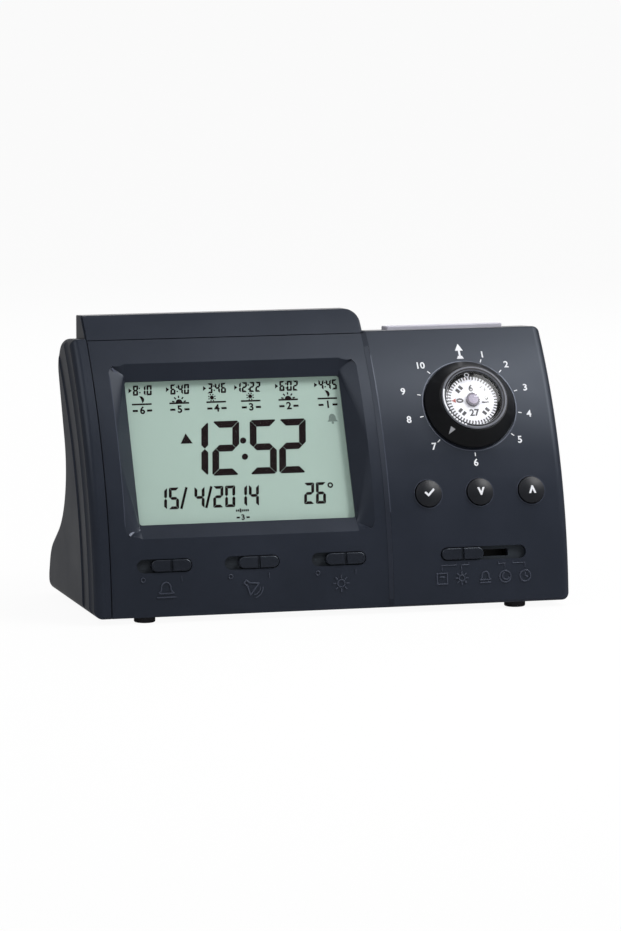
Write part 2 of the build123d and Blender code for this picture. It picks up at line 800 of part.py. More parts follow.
head_pocket = screw_head_radius + screw_head_clearance
with BuildPart() as rear_housing:
    add(case_shell.part)
    add(drum(front_radius - rim_depth - parting_gap), mode=Mode.INTERSECT)
    add(visor_shell.part)
    add(bay_tray.part)
    add(speaker_seat.part)
    add(top_pillars.part)
    extrude(circle_on(level(base_z), pillar_radius, base_screws), amount=lug_height)
    # bay for the cells and the opening for its door
    extrude(rectangle_on(door_plane(bay_floor), bay_length, bay_breadth), amount=bay_floor + cell_depth,
            mode=Mode.SUBTRACT)
    add(door_opening.part, mode=Mode.SUBTRACT)
    add(grille_cut.part, mode=Mode.SUBTRACT)
    # holes and pockets for the screws and the feet
    extrude(circle_on(back_plane(top_seat_y - 1), screw_hole, top_screws), amount=-(screw_floor + 2),
            mode=Mode.SUBTRACT)
    extrude(circle_on(back_plane(top_seat_y + screw_floor), head_pocket, top_screws), amount=-body_depth,
            mode=Mode.SUBTRACT)
    extrude(circle_on(level(base_z), screw_hole, base_screws), amount=lug_height, mode=Mode.SUBTRACT)
    extrude(circle_on(level(base_z), head_pocket, base_screws), amount=lug_height - screw_floor,
            mode=Mode.SUBTRACT)
    extrude(circle_on(level(base_z), foot_radius, rear_feet), amount=foot_pocket, mode=Mode.SUBTRACT)

# ---------------------------------------------------------------- battery door, cells and contacts
with BuildPart() as grip_cut:
    for row in range(grip_rows):
        extrude(slot_on(door_plane(cell_depth), grip_length, grip_width,
                        places=[(0, door_breadth / 2 - grip_inset - row * grip_pitch)]),
                amount=2 * cell_depth)
    grip_drop = (0, -grip_depth * sin(tilt), -grip_depth * cos(tilt))
    add(envelope.part.moved(Location(grip_drop)), mode=Mode.SUBTRACT)

with BuildPart() as battery_door:
    add(envelope.part)
    add(door_block(0), mode=Mode.INTERSECT)
    add(cavity.part, mode=Mode.SUBTRACT)
    add(grip_cut.part, mode=Mode.SUBTRACT)

bay_plane = door_plane(cell_depth)
bay_end = bay_length / 2
nub_tip = bay_end - contact_thickness - contact_boss     # along the cell, from the middle of the bay


def along_bay(x):
    """Plane across the cells at x from the middle of the bay: it faces +X."""
    middle = bay_plane.origin + bay_plane.x_dir * x
    return Plane(origin=middle, x_dir=bay_plane.y_dir, z_dir=(1, 0, 0))


with BuildPart() as battery_cells:
    for side in (1, -1):
        place = [(side * cell_pitch / 2, 0)]
        tip = side * nub_tip
        shoulder = side * (nub_tip - cell_nub_length)
        extrude(circle_on(along_bay(tip), cell_nub_radius, place), amount=-side * cell_nub_length)
        extrude(circle_on(along_bay(shoulder), cell_radius, place),
                amount=-side * (cell_length - cell_nub_length))

with BuildPart() as battery_plates:
    for side in (1, -1):
        place = [(side * cell_pitch / 2, 0)]
        extrude(circle_on(along_bay(side * (bay_end - contact_thickness)), cell_nub_radius, place),
                amount=-side * contact_boss)
    for side in (1, -1):
        place = [(side * cell_pitch / 2, 0)]
        extrude(rectangle_on(along_bay(bay_end), contact_size, contact_size, 1.0, place), amount=-contact_thickness)
    extrude(rectangle_on(along_bay(-bay_end), cell_pitch + contact_size, contact_size, 1.0),
            amount=contact_thickness)

spring_rise = battery_spring_length - 2 * battery_spring_wire
with BuildPart() as battery_springs:
    for side in (1, -1):
        start = along_bay(-side * (bay_end - contact_thickness - battery_spring_wire))
        start = Plane(origin=start.origin + bay_plane.y_dir * (side * cell_pitch / 2),
                      x_dir=bay_plane.y_dir, z_dir=(side, 0, 0))
        coil = Helix(spring_rise / battery_spring_turns, spring_rise, battery_spring_radius).moved(start.location)
        with BuildSketch(Plane(origin=coil @ 0, z_dir=coil % 0)) as wire:
            Circle(battery_spring_wire)
        sweep(wire.sketch, path=coil, is_frenet=True)

# ---------------------------------------------------------------- speaker
frame_depth = speaker_depth - magnet_disc_height
speaker_front = speaker_plane(speaker_setback)
speaker_axis = spindle(speaker_front)
opening_radius = speaker_radius - speaker_rim


def turned(plane, *points):
    """Outline of a turned piece in (radius, height) about a plane's normal."""
    return outline_on(section_of(plane), *points)


with BuildPart() as speaker_frame:
    revolve(turned(speaker_front,
                   (opening_radius, 0), (speaker_radius, 0), (speaker_radius, -speaker_rim_thickness),
                   (opening_radius + speaker_sheet, -speaker_rim_thickness),
                   (magnet_disc_radius + speaker_sheet, -frame_depth),
                   (0, -frame_depth), (0, speaker_sheet - frame_depth),
                   (magnet_disc_radius, speaker_sheet - frame_depth), (opening_radius, -speaker_rim_thickness)),
            axis=speaker_axis)

with BuildPart() as speaker_cone:
    revolve(turned(speaker_front,
                   (opening_radius, 0), (opening_radius, -speaker_rim_thickness),
                   (voice_coil_radius, -cone_depth), (0, -cone_depth), (0, cone_sheet - cone_depth),
                   (voice_coil_radius, cone_sheet - cone_depth)),
            axis=speaker_axis)

with BuildPart() as speaker_magnet:
    extrude(circle_on(speaker_plane(speaker_setback + speaker_depth), magnet_disc_radius), amount=magnet_disc_height)
    chamfer(speaker_magnet.edges(), speaker_sheet / 2)

# ---------------------------------------------------------------- display
with BuildPart() as lcd_window:
    extrude(rectangle_on(display_plane(window_back), window_width + 2 * window_seat,
                         window_height + 2 * window_seat, window_corner), amount=window_thickness)

with BuildPart() as lcd_glass:
    extrude(rectangle_on(display_plane(glass_back), glass_width, glass_height), amount=glass_thickness)

guide_width = glass_width - 2 * zebra_width
guide_height = glass_height - 2 * guide_inset
with BuildPart() as light_guide:
    extrude(rectangle_on(display_plane(guide_back), guide_width, guide_height), amount=guide_thickness)

zebra_u = glass_height / 2 - zebra_edge - zebra_width / 2
zebra_places = [(0, zebra_u), (0, -zebra_u)]
zebra_length = glass_width - 2 * guide_inset
led_x = guide_width / 2 + led_size / 2
with BuildPart() as lcd_holder:
    extrude(rectangle_on(display_plane(board_front), holder_width, holder_height, window_corner),
            amount=board_front - window_back)
    extrude(rectangle_on(display_plane(glass_back), glass_width, glass_height),
            amount=glass_thickness + air_gap, mode=Mode.SUBTRACT)
    extrude(rectangle_on(display_plane(guide_back), guide_width, guide_height),
            amount=guide_thickness, mode=Mode.SUBTRACT)
    extrude(rectangle_on(display_plane(board_front), zebra_length, zebra_width, places=zebra_places),
            amount=board_front - glass_back, mode=Mode.SUBTRACT)
    extrude(rectangle_on(display_plane(board_front), led_size, led_length, places=[(led_x, 0)]),
            amount=board_front - glass_back, mode=Mode.SUBTRACT)

with BuildPart() as zebra_strips:
    extrude(rectangle_on(display_plane(board_front), zebra_length, zebra_width, places=zebra_places),
            amount=board_front - glass_back)

with BuildPart() as backlight_lamp:
    extrude(rectangle_on(display_plane(board_front), led_size, led_length, places=[(led_x, 0)]),
            amount=board_front - glass_back - holder_floor / 2)


def board_outline(seat, width, height, middle=0.0):
    """Circuit board on its posts, with its screw holes."""
    with BuildSketch(seat[0]) as outline:
        with Locations((middle, 0)):
            RectangleRounded(width, height, board_corner)
        with Locations(*seat[1]):
            Circle(board_hole, mode=Mode.SUBTRACT)
    return outline.sketch


main_board_width = 2 * (post_x + board_border)
main_board_height = 2 * (post_u + board_border)
with BuildPart() as main_board:
    extrude(board_outline(main_seat, main_board_width, main_board_height), amount=-board_thickness)

with BuildPart() as main_chip:
    with BuildSketch(display_plane(board_back)):
        with Locations((chip_x, 0)):
            Circle(chip_radius)
    extrude(amount=-chip_height)
    chip_top = main_chip.faces().sort_by(spindle(display_plane(0)))[0]
    fillet(chip_top.edges(), chip_height * 2 / 3)

with BuildPart() as sound_chip:
    extrude(rectangle_on(display_plane(board_back), sound_chip_length, sound_chip_width,
                         places=[(-chip_x, 0)]), amount=-chip_height)

with BuildPart() as quartz_crystal:
    extrude(slot_on(display_plane(board_back), crystal_length, crystal_width,
                    places=[(0, main_board_height / 4)]), amount=-crystal_height)

with BuildPart() as temperature_sensor:
    extrude(circle_on(display_plane(board_back), sensor_radius,
                      [(post_x, -main_board_height / 4)]), amount=-sensor_height)

# ---------------------------------------------------------------- selector with its compass
knob_plane = front_plane(knob_x, knob_arc)
knob_axis = spindle(knob_plane)
knob_base = knob_rise - knob_seat_depth
knob_inside = knob_base + knob_floor
rotor_top = -(sleeve_reach + rotor_gap)
rotor_base = rotor_top - rotor_thickness
cup_inside = knob_inside + cup_floor
cup_top = knob_height - dome_wall
cup_fit = cup_radius - fit_clearance


def dome_height(radius, rim_radius, rise):
    """Height of a round dome over its rim, at a radius."""
    sphere = (rim_radius**2 + rise**2) / (2 * rise)
    return rise - sphere + sqrt(sphere**2 - radius**2)


with BuildPart() as selector_knob:
    revolve(turned(knob_plane,
                   (shaft_bore, rotor_base), (shaft_radius, rotor_base), (shaft_radius, knob_base),
                   (knob_radius, knob_base), (knob_radius, knob_base + knob_skirt),
                   (knob_top_radius, knob_height), (cup_radius, knob_height),
                   (cup_radius, knob_inside), (shaft_bore, knob_inside)),
            axis=knob_axis)
    rims = selector_knob.edges().filter_by(GeomType.CIRCLE)
    fillet(rims.filter_by(lambda rim: rim.radius > knob_top_radius - knob_round), knob_round)

with BuildPart() as selector_rotor:
    with BuildSketch(front_plane(knob_x, knob_arc, -rotor_base)):
        Circle(rotor_radius)
        Circle(shaft_radius, mode=Mode.SUBTRACT)
        with PolarLocations(rotor_radius, selector_steps, 90):
            Circle(notch_radius, mode=Mode.SUBTRACT)
    extrude(amount=rotor_thickness)

wiper_base = rotor_base - wiper_thickness
wiper_tip = wiper_gap - selector_board_depth
with BuildPart() as selector_wiper:
    with BuildSketch(front_plane(knob_x, knob_arc, -wiper_base)):
        Circle(wiper_outer)
        Circle(wiper_inner, mode=Mode.SUBTRACT)
    extrude(amount=wiper_thickness)
    with BuildSketch(front_plane(knob_x, knob_arc, -wiper_tip)):
        with PolarLocations(wiper_track, 3, 90):
            Circle(wiper_finger)
    extrude(amount=wiper_base - wiper_tip)

detent_y = rotor_radius + detent_gap + detent_nose
with BuildPart() as detent_spring:
    with BuildSketch(front_plane(knob_x, knob_arc, selector_board_depth)):
        with Locations((0, detent_y + detent_thickness / 2)):
            Rectangle(detent_length, detent_thickness)
        with Locations((0, detent_y)):
            Circle(detent_nose)
        with Locations((0, detent_y + detent_thickness + detent_nose)):
            Rectangle(detent_length, 2 * detent_nose, mode=Mode.SUBTRACT)
    extrude(amount=selector_board_depth + rotor_top)

with BuildPart() as selector_board:
    extrude(board_outline(selector_seat, selector_board_size, selector_board_size), amount=-board_thickness)

with BuildPart() as compass_cup:
    revolve(turned(knob_plane,
                   (0, knob_inside), (cup_fit, knob_inside), (cup_fit, cup_top),
                   (cup_fit - cup_wall, cup_top), (cup_fit - cup_wall, cup_inside), (0, cup_inside)),
            axis=knob_axis)

pivot_tip = card_height + card_thickness + jewel_height / 2
with BuildPart() as compass_pivot:
    revolve(turned(knob_plane,
                   (0, cup_inside), (pivot_base_radius, cup_inside),
                   (pivot_base_radius, cup_inside + pivot_base_height),
                   (pivot_radius, cup_inside + pivot_base_height),
                   (pivot_radius, pivot_tip - pivot_radius), (0, pivot_tip)),
            axis=knob_axis)

socket_radius = pivot_radius + pivot_clearance
socket_top = pivot_tip + pivot_clearance
jewel_top = card_height + card_thickness + jewel_height
with BuildPart() as compass_card:
    revolve(turned(knob_plane,
                   (socket_radius, card_height), (card_radius, card_height),
                   (card_radius, card_height + card_thickness),
                   (jewel_radius, card_height + card_thickness),
                   (jewel_radius, jewel_top - card_thickness), (jewel_radius - card_thickness, jewel_top),
                   (0, jewel_top), (0, socket_top), (socket_radius, socket_top - pivot_radius)),
            axis=knob_axis)

with BuildPart() as compass_magnet:
    revolve(turned(knob_plane,
                   (magnet_bore, card_height - magnet_thickness), (magnet_radius, card_height - magnet_thickness),
                   (magnet_radius, card_height), (magnet_bore, card_height)),
            axis=knob_axis)

inner_rim = dome_radius - dome_wall
with BuildPart() as compass_dome:
    with BuildSketch(section_of(knob_plane)):
        with BuildLine():
            Polyline((dome_radius, knob_height), (cup_fit, knob_height), (cup_fit, cup_top), (inner_rim, cup_top))
            ThreePointArc((inner_rim, cup_top),
                          (inner_rim / 2, cup_top + dome_height(inner_rim / 2, inner_rim, dome_rise)),
                          (0, cup_top + dome_rise))
            Line((0, cup_top + dome_rise), (0, knob_height + dome_rise))
            ThreePointArc((0, knob_height + dome_rise),
                          (dome_radius / 2, knob_height + dome_height(dome_radius / 2, dome_radius, dome_rise)),
                          (dome_radius, knob_height))
        make_face()
    revolve(axis=knob_axis)

ring_inner = dome_radius + fit_clearance
with BuildPart() as compass_ring:
    with BuildSketch(front_plane(knob_x, knob_arc, -knob_height)):
        Circle(ring_inner + ring_width)
        Circle(ring_inner, mode=Mode.SUBTRACT)
    extrude(amount=ring_height)
    ring_face = compass_ring.faces().filter_by(GeomType.PLANE).sort_by(knob_axis)[-1]
    fillet(ring_face.edges(), ring_height / 3)

# ---------------------------------------------------------------- push buttons
flange_top = -(front_wall + button_gap)
tact_top = tact_height - button_board_depth
stem_end = tact_top - tact_entry
tact_socket = tact_entry + button_travel + button_gap


def push_button(x):
    """Button with a domed cap, a flange behind the wall and a stem."""
    plane = front_plane(x, button_arc)
    middle = (button_radius / 2, button_edge + dome_height(button_radius / 2, button_radius, button_dome))
    with BuildPart() as button:
        with BuildSketch(section_of(plane)):
            with BuildLine():
                Polyline((0, button_edge + button_dome), (0, stem_end), (button_stem, stem_end),
                         (button_stem, flange_top - button_flange_thickness),
                         (button_flange, flange_top - button_flange_thickness), (button_flange, flange_top),
                         (button_radius, flange_top), (button_radius, button_edge))
                ThreePointArc((button_radius, button_edge), middle, (0, button_edge + button_dome))
            make_face()
        revolve(axis=spindle(plane))
    return button


set_button, down_button, up_button = [push_button(x) for x in button_places]

button_middles = [(x - knob_x, 0) for x in button_places]
button_board_length = 2 * button_pitch + tact_size + 2 * button_board_margin
with BuildPart() as button_switches:
    extrude(rectangle_on(button_seat[0], tact_size, tact_size, places=button_middles), amount=tact_height)
    extrude(circle_on(button_seat[0].offset(tact_height), tact_bore, button_middles),
            amount=-tact_socket, mode=Mode.SUBTRACT)

with BuildPart() as button_board:
    extrude(board_outline(button_seat, button_board_length, button_board_height), amount=-board_thickness)

# ---------------------------------------------------------------- slide switches
small_floor = panel_recess + pocket_depth
stem_depth = switch_board_depth - slide_switch_deep + actuator_entry


def slide_knob(x, floor, length):
    """Notched knob in a pocket whose floor lies so deep, with a stem that reaches its switch."""
    underside = floor - slide_clearance
    top = floor - pocket_depth - slide_rise
    height = pocket_height - 2 * slide_clearance
    with BuildPart() as knob:
        extrude(slot_on(front_plane(x, switch_arc, underside), length, height), amount=underside - top)
        crown = knob.faces().sort_by(spindle(front_plane(x, switch_arc)))[-1]
        fillet(crown.edges(), slide_round)
        extrude(rectangle_on(front_plane(x, switch_arc, top + notch_depth), notch_width, pocket_height),
                amount=2 * notch_depth, mode=Mode.SUBTRACT)
        extrude(rectangle_on(front_plane(x, switch_arc, stem_depth), slide_stem_length, slide_stem_height),
                amount=stem_depth - underside)
    return knob


slide_knob_left, slide_knob_middle, slide_knob_right = [
    slide_knob(x + slide_travel / 2, small_floor, slide_knob_length) for x in switch_places
]
mode_knob = slide_knob(mode_x - mode_travel / 2, pocket_depth, mode_knob_length)

socket_height = slide_stem_height + 2 * slide_clearance
socket_depth = actuator_entry + slide_clearance
small_middles = [(x, 0) for x in switch_places]
with BuildPart() as slide_switches:
    extrude(rectangle_on(switch_seat[0], slide_switch_length, slide_switch_height, places=small_middles),
            amount=slide_switch_deep)
    extrude(rectangle_on(switch_seat[0].offset(slide_switch_deep), slot_length, socket_height,
                         places=small_middles), amount=-socket_depth, mode=Mode.SUBTRACT)

with BuildPart() as mode_switch:
    extrude(rectangle_on(switch_seat[0], mode_switch_length, slide_switch_height, places=[(mode_x, 0)]),
            amount=slide_switch_deep)
    extrude(rectangle_on(switch_seat[0].offset(slide_switch_deep), mode_slot_length, socket_height,
                         places=[(mode_x, 0)]), amount=-socket_depth, mode=Mode.SUBTRACT)

with BuildPart() as switch_board:
    extrude(board_outline(switch_seat, board_right - board_left, switch_board_height,
                          (board_left + board_right) / 2), amount=-board_thickness)

# ---------------------------------------------------------------- light key
tab_depth = case_wall + key_stop_gap
key_underside = tab_depth + key_tab_thickness
key_switch_top = key_board_depth - key_switch_height
with BuildPart() as light_key:
    extrude(rectangle_on(key_plane(key_underside), key_length, key_depth, key_corner),
            amount=key_underside + key_rise)
    key_top = light_key.faces().sort_by(spindle(key_plane()))[-1]
    fillet(key_top.edges(), key_corner / 2)
    extrude(rectangle_on(key_plane(key_underside), key_length + 2 * key_tab, key_depth - 2 * key_tab),
            amount=key_tab_thickness)
    extrude(circle_on(key_plane(key_switch_top + key_switch_entry), key_stem),
            amount=key_switch_top + key_switch_entry - key_underside)

with BuildPart() as light_switch:
    extrude(rectangle_on(key_plane(key_board_depth), tact_size, tact_size), amount=key_switch_height)
    extrude(circle_on(key_plane(key_switch_top), key_stem + key_socket_gap),
            amount=-(key_switch_entry + key_travel + key_stop_gap), mode=Mode.SUBTRACT)

with BuildPart() as light_board:
    extrude(rectangle_on(key_plane(key_board_depth + key_board_thickness), key_board_length, key_board_width,
                         board_corner), amount=key_board_thickness)

# ---------------------------------------------------------------- screws and feet
with BuildPart() as board_screws:
    for seat, places, length in board_seats:
        back = seat.offset(-board_thickness)
        extrude(circle_on(back, board_screw_head, places), amount=-board_screw_head_height)
        extrude(circle_on(back, pilot_radius, places), amount=board_thickness + board_screw_length - tip_gap)

with BuildPart() as case_screws:
    head_seat = back_plane(top_seat_y + screw_floor)
    extrude(circle_on(head_seat, screw_head_radius, top_screws), amount=-screw_head_height)
    extrude(circle_on(head_seat, screw_pilot, top_screws), amount=screw_floor + 2 * boss_radius - tip_gap)

with BuildPart() as base_screw_pair:
    head_seat = level(base_z + lug_height - screw_floor)
    extrude(circle_on(head_seat, screw_head_radius, base_screws), amount=-screw_head_height)
    extrude(circle_on(head_seat, screw_pilot, base_screws), amount=screw_floor + lug_thickness)

with BuildPart() as feet:
    extrude(circle_on(level(0), foot_radius, front_feet + rear_feet), amount=foot_height + foot_pocket)
    fillet(feet.edges().group_by(Axis.Z)[0], foot_round)

# ---------------------------------------------------------------- one file for each piece
pieces = {
    "front_bezel": front_bezel,
    "rear_housing": rear_housing,
    "battery_door": battery_door,
    "battery_cells": battery_cells,
    "battery_plates": battery_plates,
    "battery_springs": battery_springs,
    "speaker_frame": speaker_frame,
    "speaker_cone": speaker_cone,
    "speaker_magnet": speaker_magnet,
    "lcd_window": lcd_window,
    "lcd_glass": lcd_glass,
    "light_guide": light_guide,
    "lcd_holder": lcd_holder,
    "zebra_strips": zebra_strips,
    "backlight_lamp": backlight_lamp,
    "main_board": main_board,
    "main_chip": main_chip,
    "sound_chip": sound_chip,
    "quartz_crystal": quartz_crystal,
    "temperature_sensor": temperature_sensor,
    "selector_knob": selector_knob,
    "selector_rotor": selector_rotor,
    "selector_wiper": selector_wiper,
    "selector_detent_spring": detent_spring,
    "selector_board": selector_board,
    "compass_cup": compass_cup,
    "compass_pivot": compass_pivot,
    "compass_card": compass_card,
    "compass_magnet": compass_magnet,
    "compass_dome": compass_dome,
    "compass_ring": compass_ring,
    "set_button": set_button,
    "down_button": down_button,
    "up_button": up_button,
    "button_switches": button_switches,
    "button_board": button_board,
    "slide_knob_left": slide_knob_left,
    "slide_knob_middle": slide_knob_middle,
    "slide_knob_right": slide_knob_right,
    "slide_switches": slide_switches,
    "mode_knob": mode_knob,
    "mode_switch": mode_switch,
    "switch_board": switch_board,
    "light_key": light_key,
    "light_switch": light_switch,
    "light_board": light_board,
    "board_screws": board_screws,
    "case_screws": case_screws,
    "base_screws": base_screw_pair,
    "feet": feet,
}
os.makedirs("parts", exist_ok=True)
for name, piece in pieces.items():
    piece.part.label = name
    export_step(piece.part, f"parts/{name}.step")
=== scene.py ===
# %% [markdown]
# # A table clock with a compass in its knob
#
# The clock's working parts arrive as a fixed frame: every shell, button and screw at its real size.
# This lesson dresses that frame. It adds what is printed, moulded or shown on the real clock, gives
# every part its finish, and sets up a plain studio. Nothing here moves or resizes a working part.

# %% Load the frame
import math

import bpy
from mathutils import Matrix, Vector


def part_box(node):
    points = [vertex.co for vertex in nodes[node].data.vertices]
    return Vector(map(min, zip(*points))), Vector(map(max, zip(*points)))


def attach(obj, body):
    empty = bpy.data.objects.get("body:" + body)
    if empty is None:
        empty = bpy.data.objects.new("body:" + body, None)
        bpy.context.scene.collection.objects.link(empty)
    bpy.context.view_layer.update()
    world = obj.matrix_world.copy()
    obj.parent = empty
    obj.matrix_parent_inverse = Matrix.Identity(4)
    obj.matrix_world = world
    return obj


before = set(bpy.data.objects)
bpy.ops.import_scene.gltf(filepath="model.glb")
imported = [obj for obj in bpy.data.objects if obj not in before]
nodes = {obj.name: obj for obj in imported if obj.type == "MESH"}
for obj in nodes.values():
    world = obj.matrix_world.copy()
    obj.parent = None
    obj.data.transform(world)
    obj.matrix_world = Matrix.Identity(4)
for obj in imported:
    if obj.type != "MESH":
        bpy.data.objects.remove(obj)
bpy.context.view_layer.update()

print("nodes in the frame:", len(nodes))

# %% [markdown]
# ## Where things are
#
# The front of the clock is part of a cylinder that leans back, so a print or a mark is placed by how
# far it is up that curve. A small function gives the local frame there: x to the right, y up the
# surface and z straight out of it. The display lies on a flat plane of its own behind the panel.

# %% Places on the curved front
MM = 0.001
front_radius = 157 * MM
front_lean = math.radians(3)
front_edge = -39 * MM
base_z = 2.2 * MM
axis_y = front_edge + front_radius * math.cos(front_lean)
axis_z = base_z - front_radius * math.sin(front_lean)


def frame_at(x, y, z, lean):
    """Matrix of a leaning surface: x right, y up the surface, z out of it."""
    up = Vector((0, math.sin(lean), math.cos(lean)))
    out = Vector((0, -math.cos(lean), math.sin(lean)))
    right = Vector((1, 0, 0))
    matrix = Matrix((right, up, out)).transposed().to_4x4()
    matrix.translation = (x, y, z)
    return matrix


def on_front(x, arc, lift=0.0):
    """Frame that touches the front at x, so far up its curve, lifted off it."""
    lean = front_lean + arc / front_radius
    radius = front_radius + lift
    return frame_at(x, axis_y - radius * math.cos(lean), axis_z + radius * math.sin(lean), lean)


display_arc = 60.9 * MM
surround_height = 65.2 * MM
panel_recess = 1 * MM
panel_radius = front_radius - panel_recess
display_lean = front_lean + display_arc / front_radius
chord_radius = math.sqrt(panel_radius**2 - surround_height**2 / 4)
display_x = (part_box("lcd_glass")[0][0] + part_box("lcd_glass")[1][0]) / 2


def on_display(x, up, depth):
    """Frame at a place on the display, so deep behind the opening's plane."""
    radius = chord_radius - depth
    middle = frame_at(display_x, axis_y - radius * math.cos(display_lean),
                      axis_z + radius * math.sin(display_lean), display_lean)
    return middle @ Matrix.Translation((x, up, 0))


print("display leans", round(math.degrees(display_lean), 1), "degrees at x", round(display_x, 4))

# %% [markdown]
# ## Helpers for modelling
#
# An operator acts on whatever is selected, so each piece starts from an empty selection. The helpers
# below add a primitive, shape it in edit mode and bake its place into the mesh, which leaves the
# object itself at the origin, unturned and unscaled.

# %% Start, bake, thicken
def start():
    """Leave nothing selected."""
    if bpy.context.object and bpy.context.object.mode != "OBJECT":
        bpy.ops.object.mode_set(mode="OBJECT")
    bpy.ops.object.select_all(action="DESELECT")


def bake(piece, matrix=None):
    """Move the object's own place, and then a given one, into its mesh."""
    piece.data.transform(piece.matrix_basis)
    piece.matrix_basis = Matrix.Identity(4)
    if matrix is not None:
        piece.data.transform(matrix)
    return piece


def edit(piece):
    """Enter edit mode on one piece, with its whole mesh selected."""
    start()
    piece.select_set(True)
    bpy.context.view_layer.objects.active = piece
    bpy.ops.object.mode_set(mode="EDIT")
    bpy.ops.mesh.select_all(action="SELECT")


def thicken(piece, depth):
    """Extrude a flat outline so far along its normal."""
    edit(piece)
    bpy.ops.mesh.extrude_region_move(TRANSFORM_OT_translate={"value": (0, 0, depth)})
    bpy.ops.mesh.select_all(action="SELECT")
    bpy.ops.mesh.normals_make_consistent(inside=False)
    bpy.ops.object.mode_set(mode="OBJECT")
    return piece


# %% Join and copy
def join(pieces, name):
    """Join pieces into one object with that name."""
    start()
    for piece in pieces:
        piece.select_set(True)
    bpy.context.view_layer.objects.active = pieces[0]
    if len(pieces) > 1:
        bpy.ops.object.join()
    whole = bpy.context.view_layer.objects.active
    whole.name = name
    whole.data.name = name
    return whole


def copy_of(piece, matrix):
    """Copy of a piece with its own mesh, placed by a matrix."""
    twin = piece.copy()
    twin.data = piece.data.copy()
    bpy.context.collection.objects.link(twin)
    twin.data.transform(matrix)
    return twin


def shift(x, y, turn=0.0):
    """Matrix that turns by degrees in the plane and then moves."""
    return Matrix.Translation((x, y, 0)) @ Matrix.Rotation(math.radians(turn), 4, "Z")


def remove(*pieces):
    """Delete pieces that were only there to be copied."""
    for piece in pieces:
        bpy.data.objects.remove(piece, do_unlink=True)


# %% [markdown]
# ## Flat shapes
#
# Nearly all that is printed or moulded on the clock is flat: discs, rings, bars and outlines. Each one
# starts as a circle or a plane, is inset or pulled into shape, and is then extruded by its thickness.
# Numbers start as text, since the figures of a font are already well drawn.

# %% Disc, ring and bar
def disc(radius, depth, vertices=32):
    """Flat round plate on the plane, raised by its depth."""
    start()
    bpy.ops.mesh.primitive_circle_add(vertices=vertices, radius=radius, fill_type="NGON")
    return thicken(bake(bpy.context.object), depth)


def ring(outer, inner, depth, vertices=48):
    """Flat ring: a disc whose inset face is taken out."""
    start()
    bpy.ops.mesh.primitive_circle_add(vertices=vertices, radius=outer, fill_type="NGON")
    plate = bake(bpy.context.object)
    edit(plate)
    bpy.ops.mesh.inset(thickness=(outer - inner) * math.cos(math.pi / vertices))
    bpy.ops.mesh.delete(type="FACE")
    bpy.ops.object.mode_set(mode="OBJECT")
    return thicken(plate, depth)


def bar(length, width, depth):
    """Flat bar along x."""
    start()
    bpy.ops.mesh.primitive_plane_add(size=1)
    plate = bpy.context.object
    plate.scale = (length, width, 1)
    return thicken(bake(plate), depth)


# %% Outlines and numbers
def outline(points, depth):
    """Flat shape: a filled circle whose vertices are pulled to the corners given, in millimetres."""
    start()
    bpy.ops.mesh.primitive_circle_add(vertices=len(points), radius=MM, fill_type="NGON")
    shape = bake(bpy.context.object)
    clockwise = sum(x0 * y1 - x1 * y0 for (x0, y0), (x1, y1) in zip(points, points[1:] + points[:1])) < 0
    ordered = points[::-1] if clockwise else points
    for vertex, (x, y) in zip(shape.data.vertices, ordered):
        vertex.co = (x * MM, y * MM, 0)
    return thicken(shape, depth)


def figures(text, size, depth, weight=0.012):
    """Plain numbers as a flat raised mesh, centred on the origin, with strokes made so much heavier."""
    start()
    bpy.ops.object.text_add()
    words = bpy.context.object
    words.data.body = text
    words.data.size = size
    words.data.align_x = "CENTER"
    words.data.align_y = "CENTER"
    words.data.resolution_u = 3
    words.data.extrude = depth / 2
    words.data.offset = size * weight
    bpy.ops.object.convert(target="MESH")
    return bake(bpy.context.object, Matrix.Translation((0, 0, depth / 2)))


# %% [markdown]
# ## Finishes
#
# Moulded plastic is never quite even: it has a fine grain, and handling leaves it a little shinier in
# places. Both effects live in one node group, so that every plastic part can use it with its own
# values. Object coordinates keep the pattern fixed to the part.

# %% Colours and empty groups
def srgb(red, green, blue):
    """Linear colour from 8-bit values."""
    def linear(value):
        value /= 255
        return value / 12.92 if value <= 0.04045 else ((value + 0.055) / 1.055) ** 2.4
    return (linear(red), linear(green), linear(blue), 1.0)


def new_group(name, inputs, outputs):
    """Empty shader group with float or colour sockets."""
    group = bpy.data.node_groups.new(name, "ShaderNodeTree")
    for socket, kind in inputs:
        group.interface.new_socket(socket, in_out="INPUT", socket_type=kind)
    for socket, kind in outputs:
        group.interface.new_socket(socket, in_out="OUTPUT", socket_type=kind)
    inside = group.nodes.new("NodeGroupInput")
    outside = group.nodes.new("NodeGroupOutput")
    return group, inside, outside


# %% The node group for moulded surfaces
FLOAT, COLOUR = "NodeSocketFloat", "NodeSocketColor"


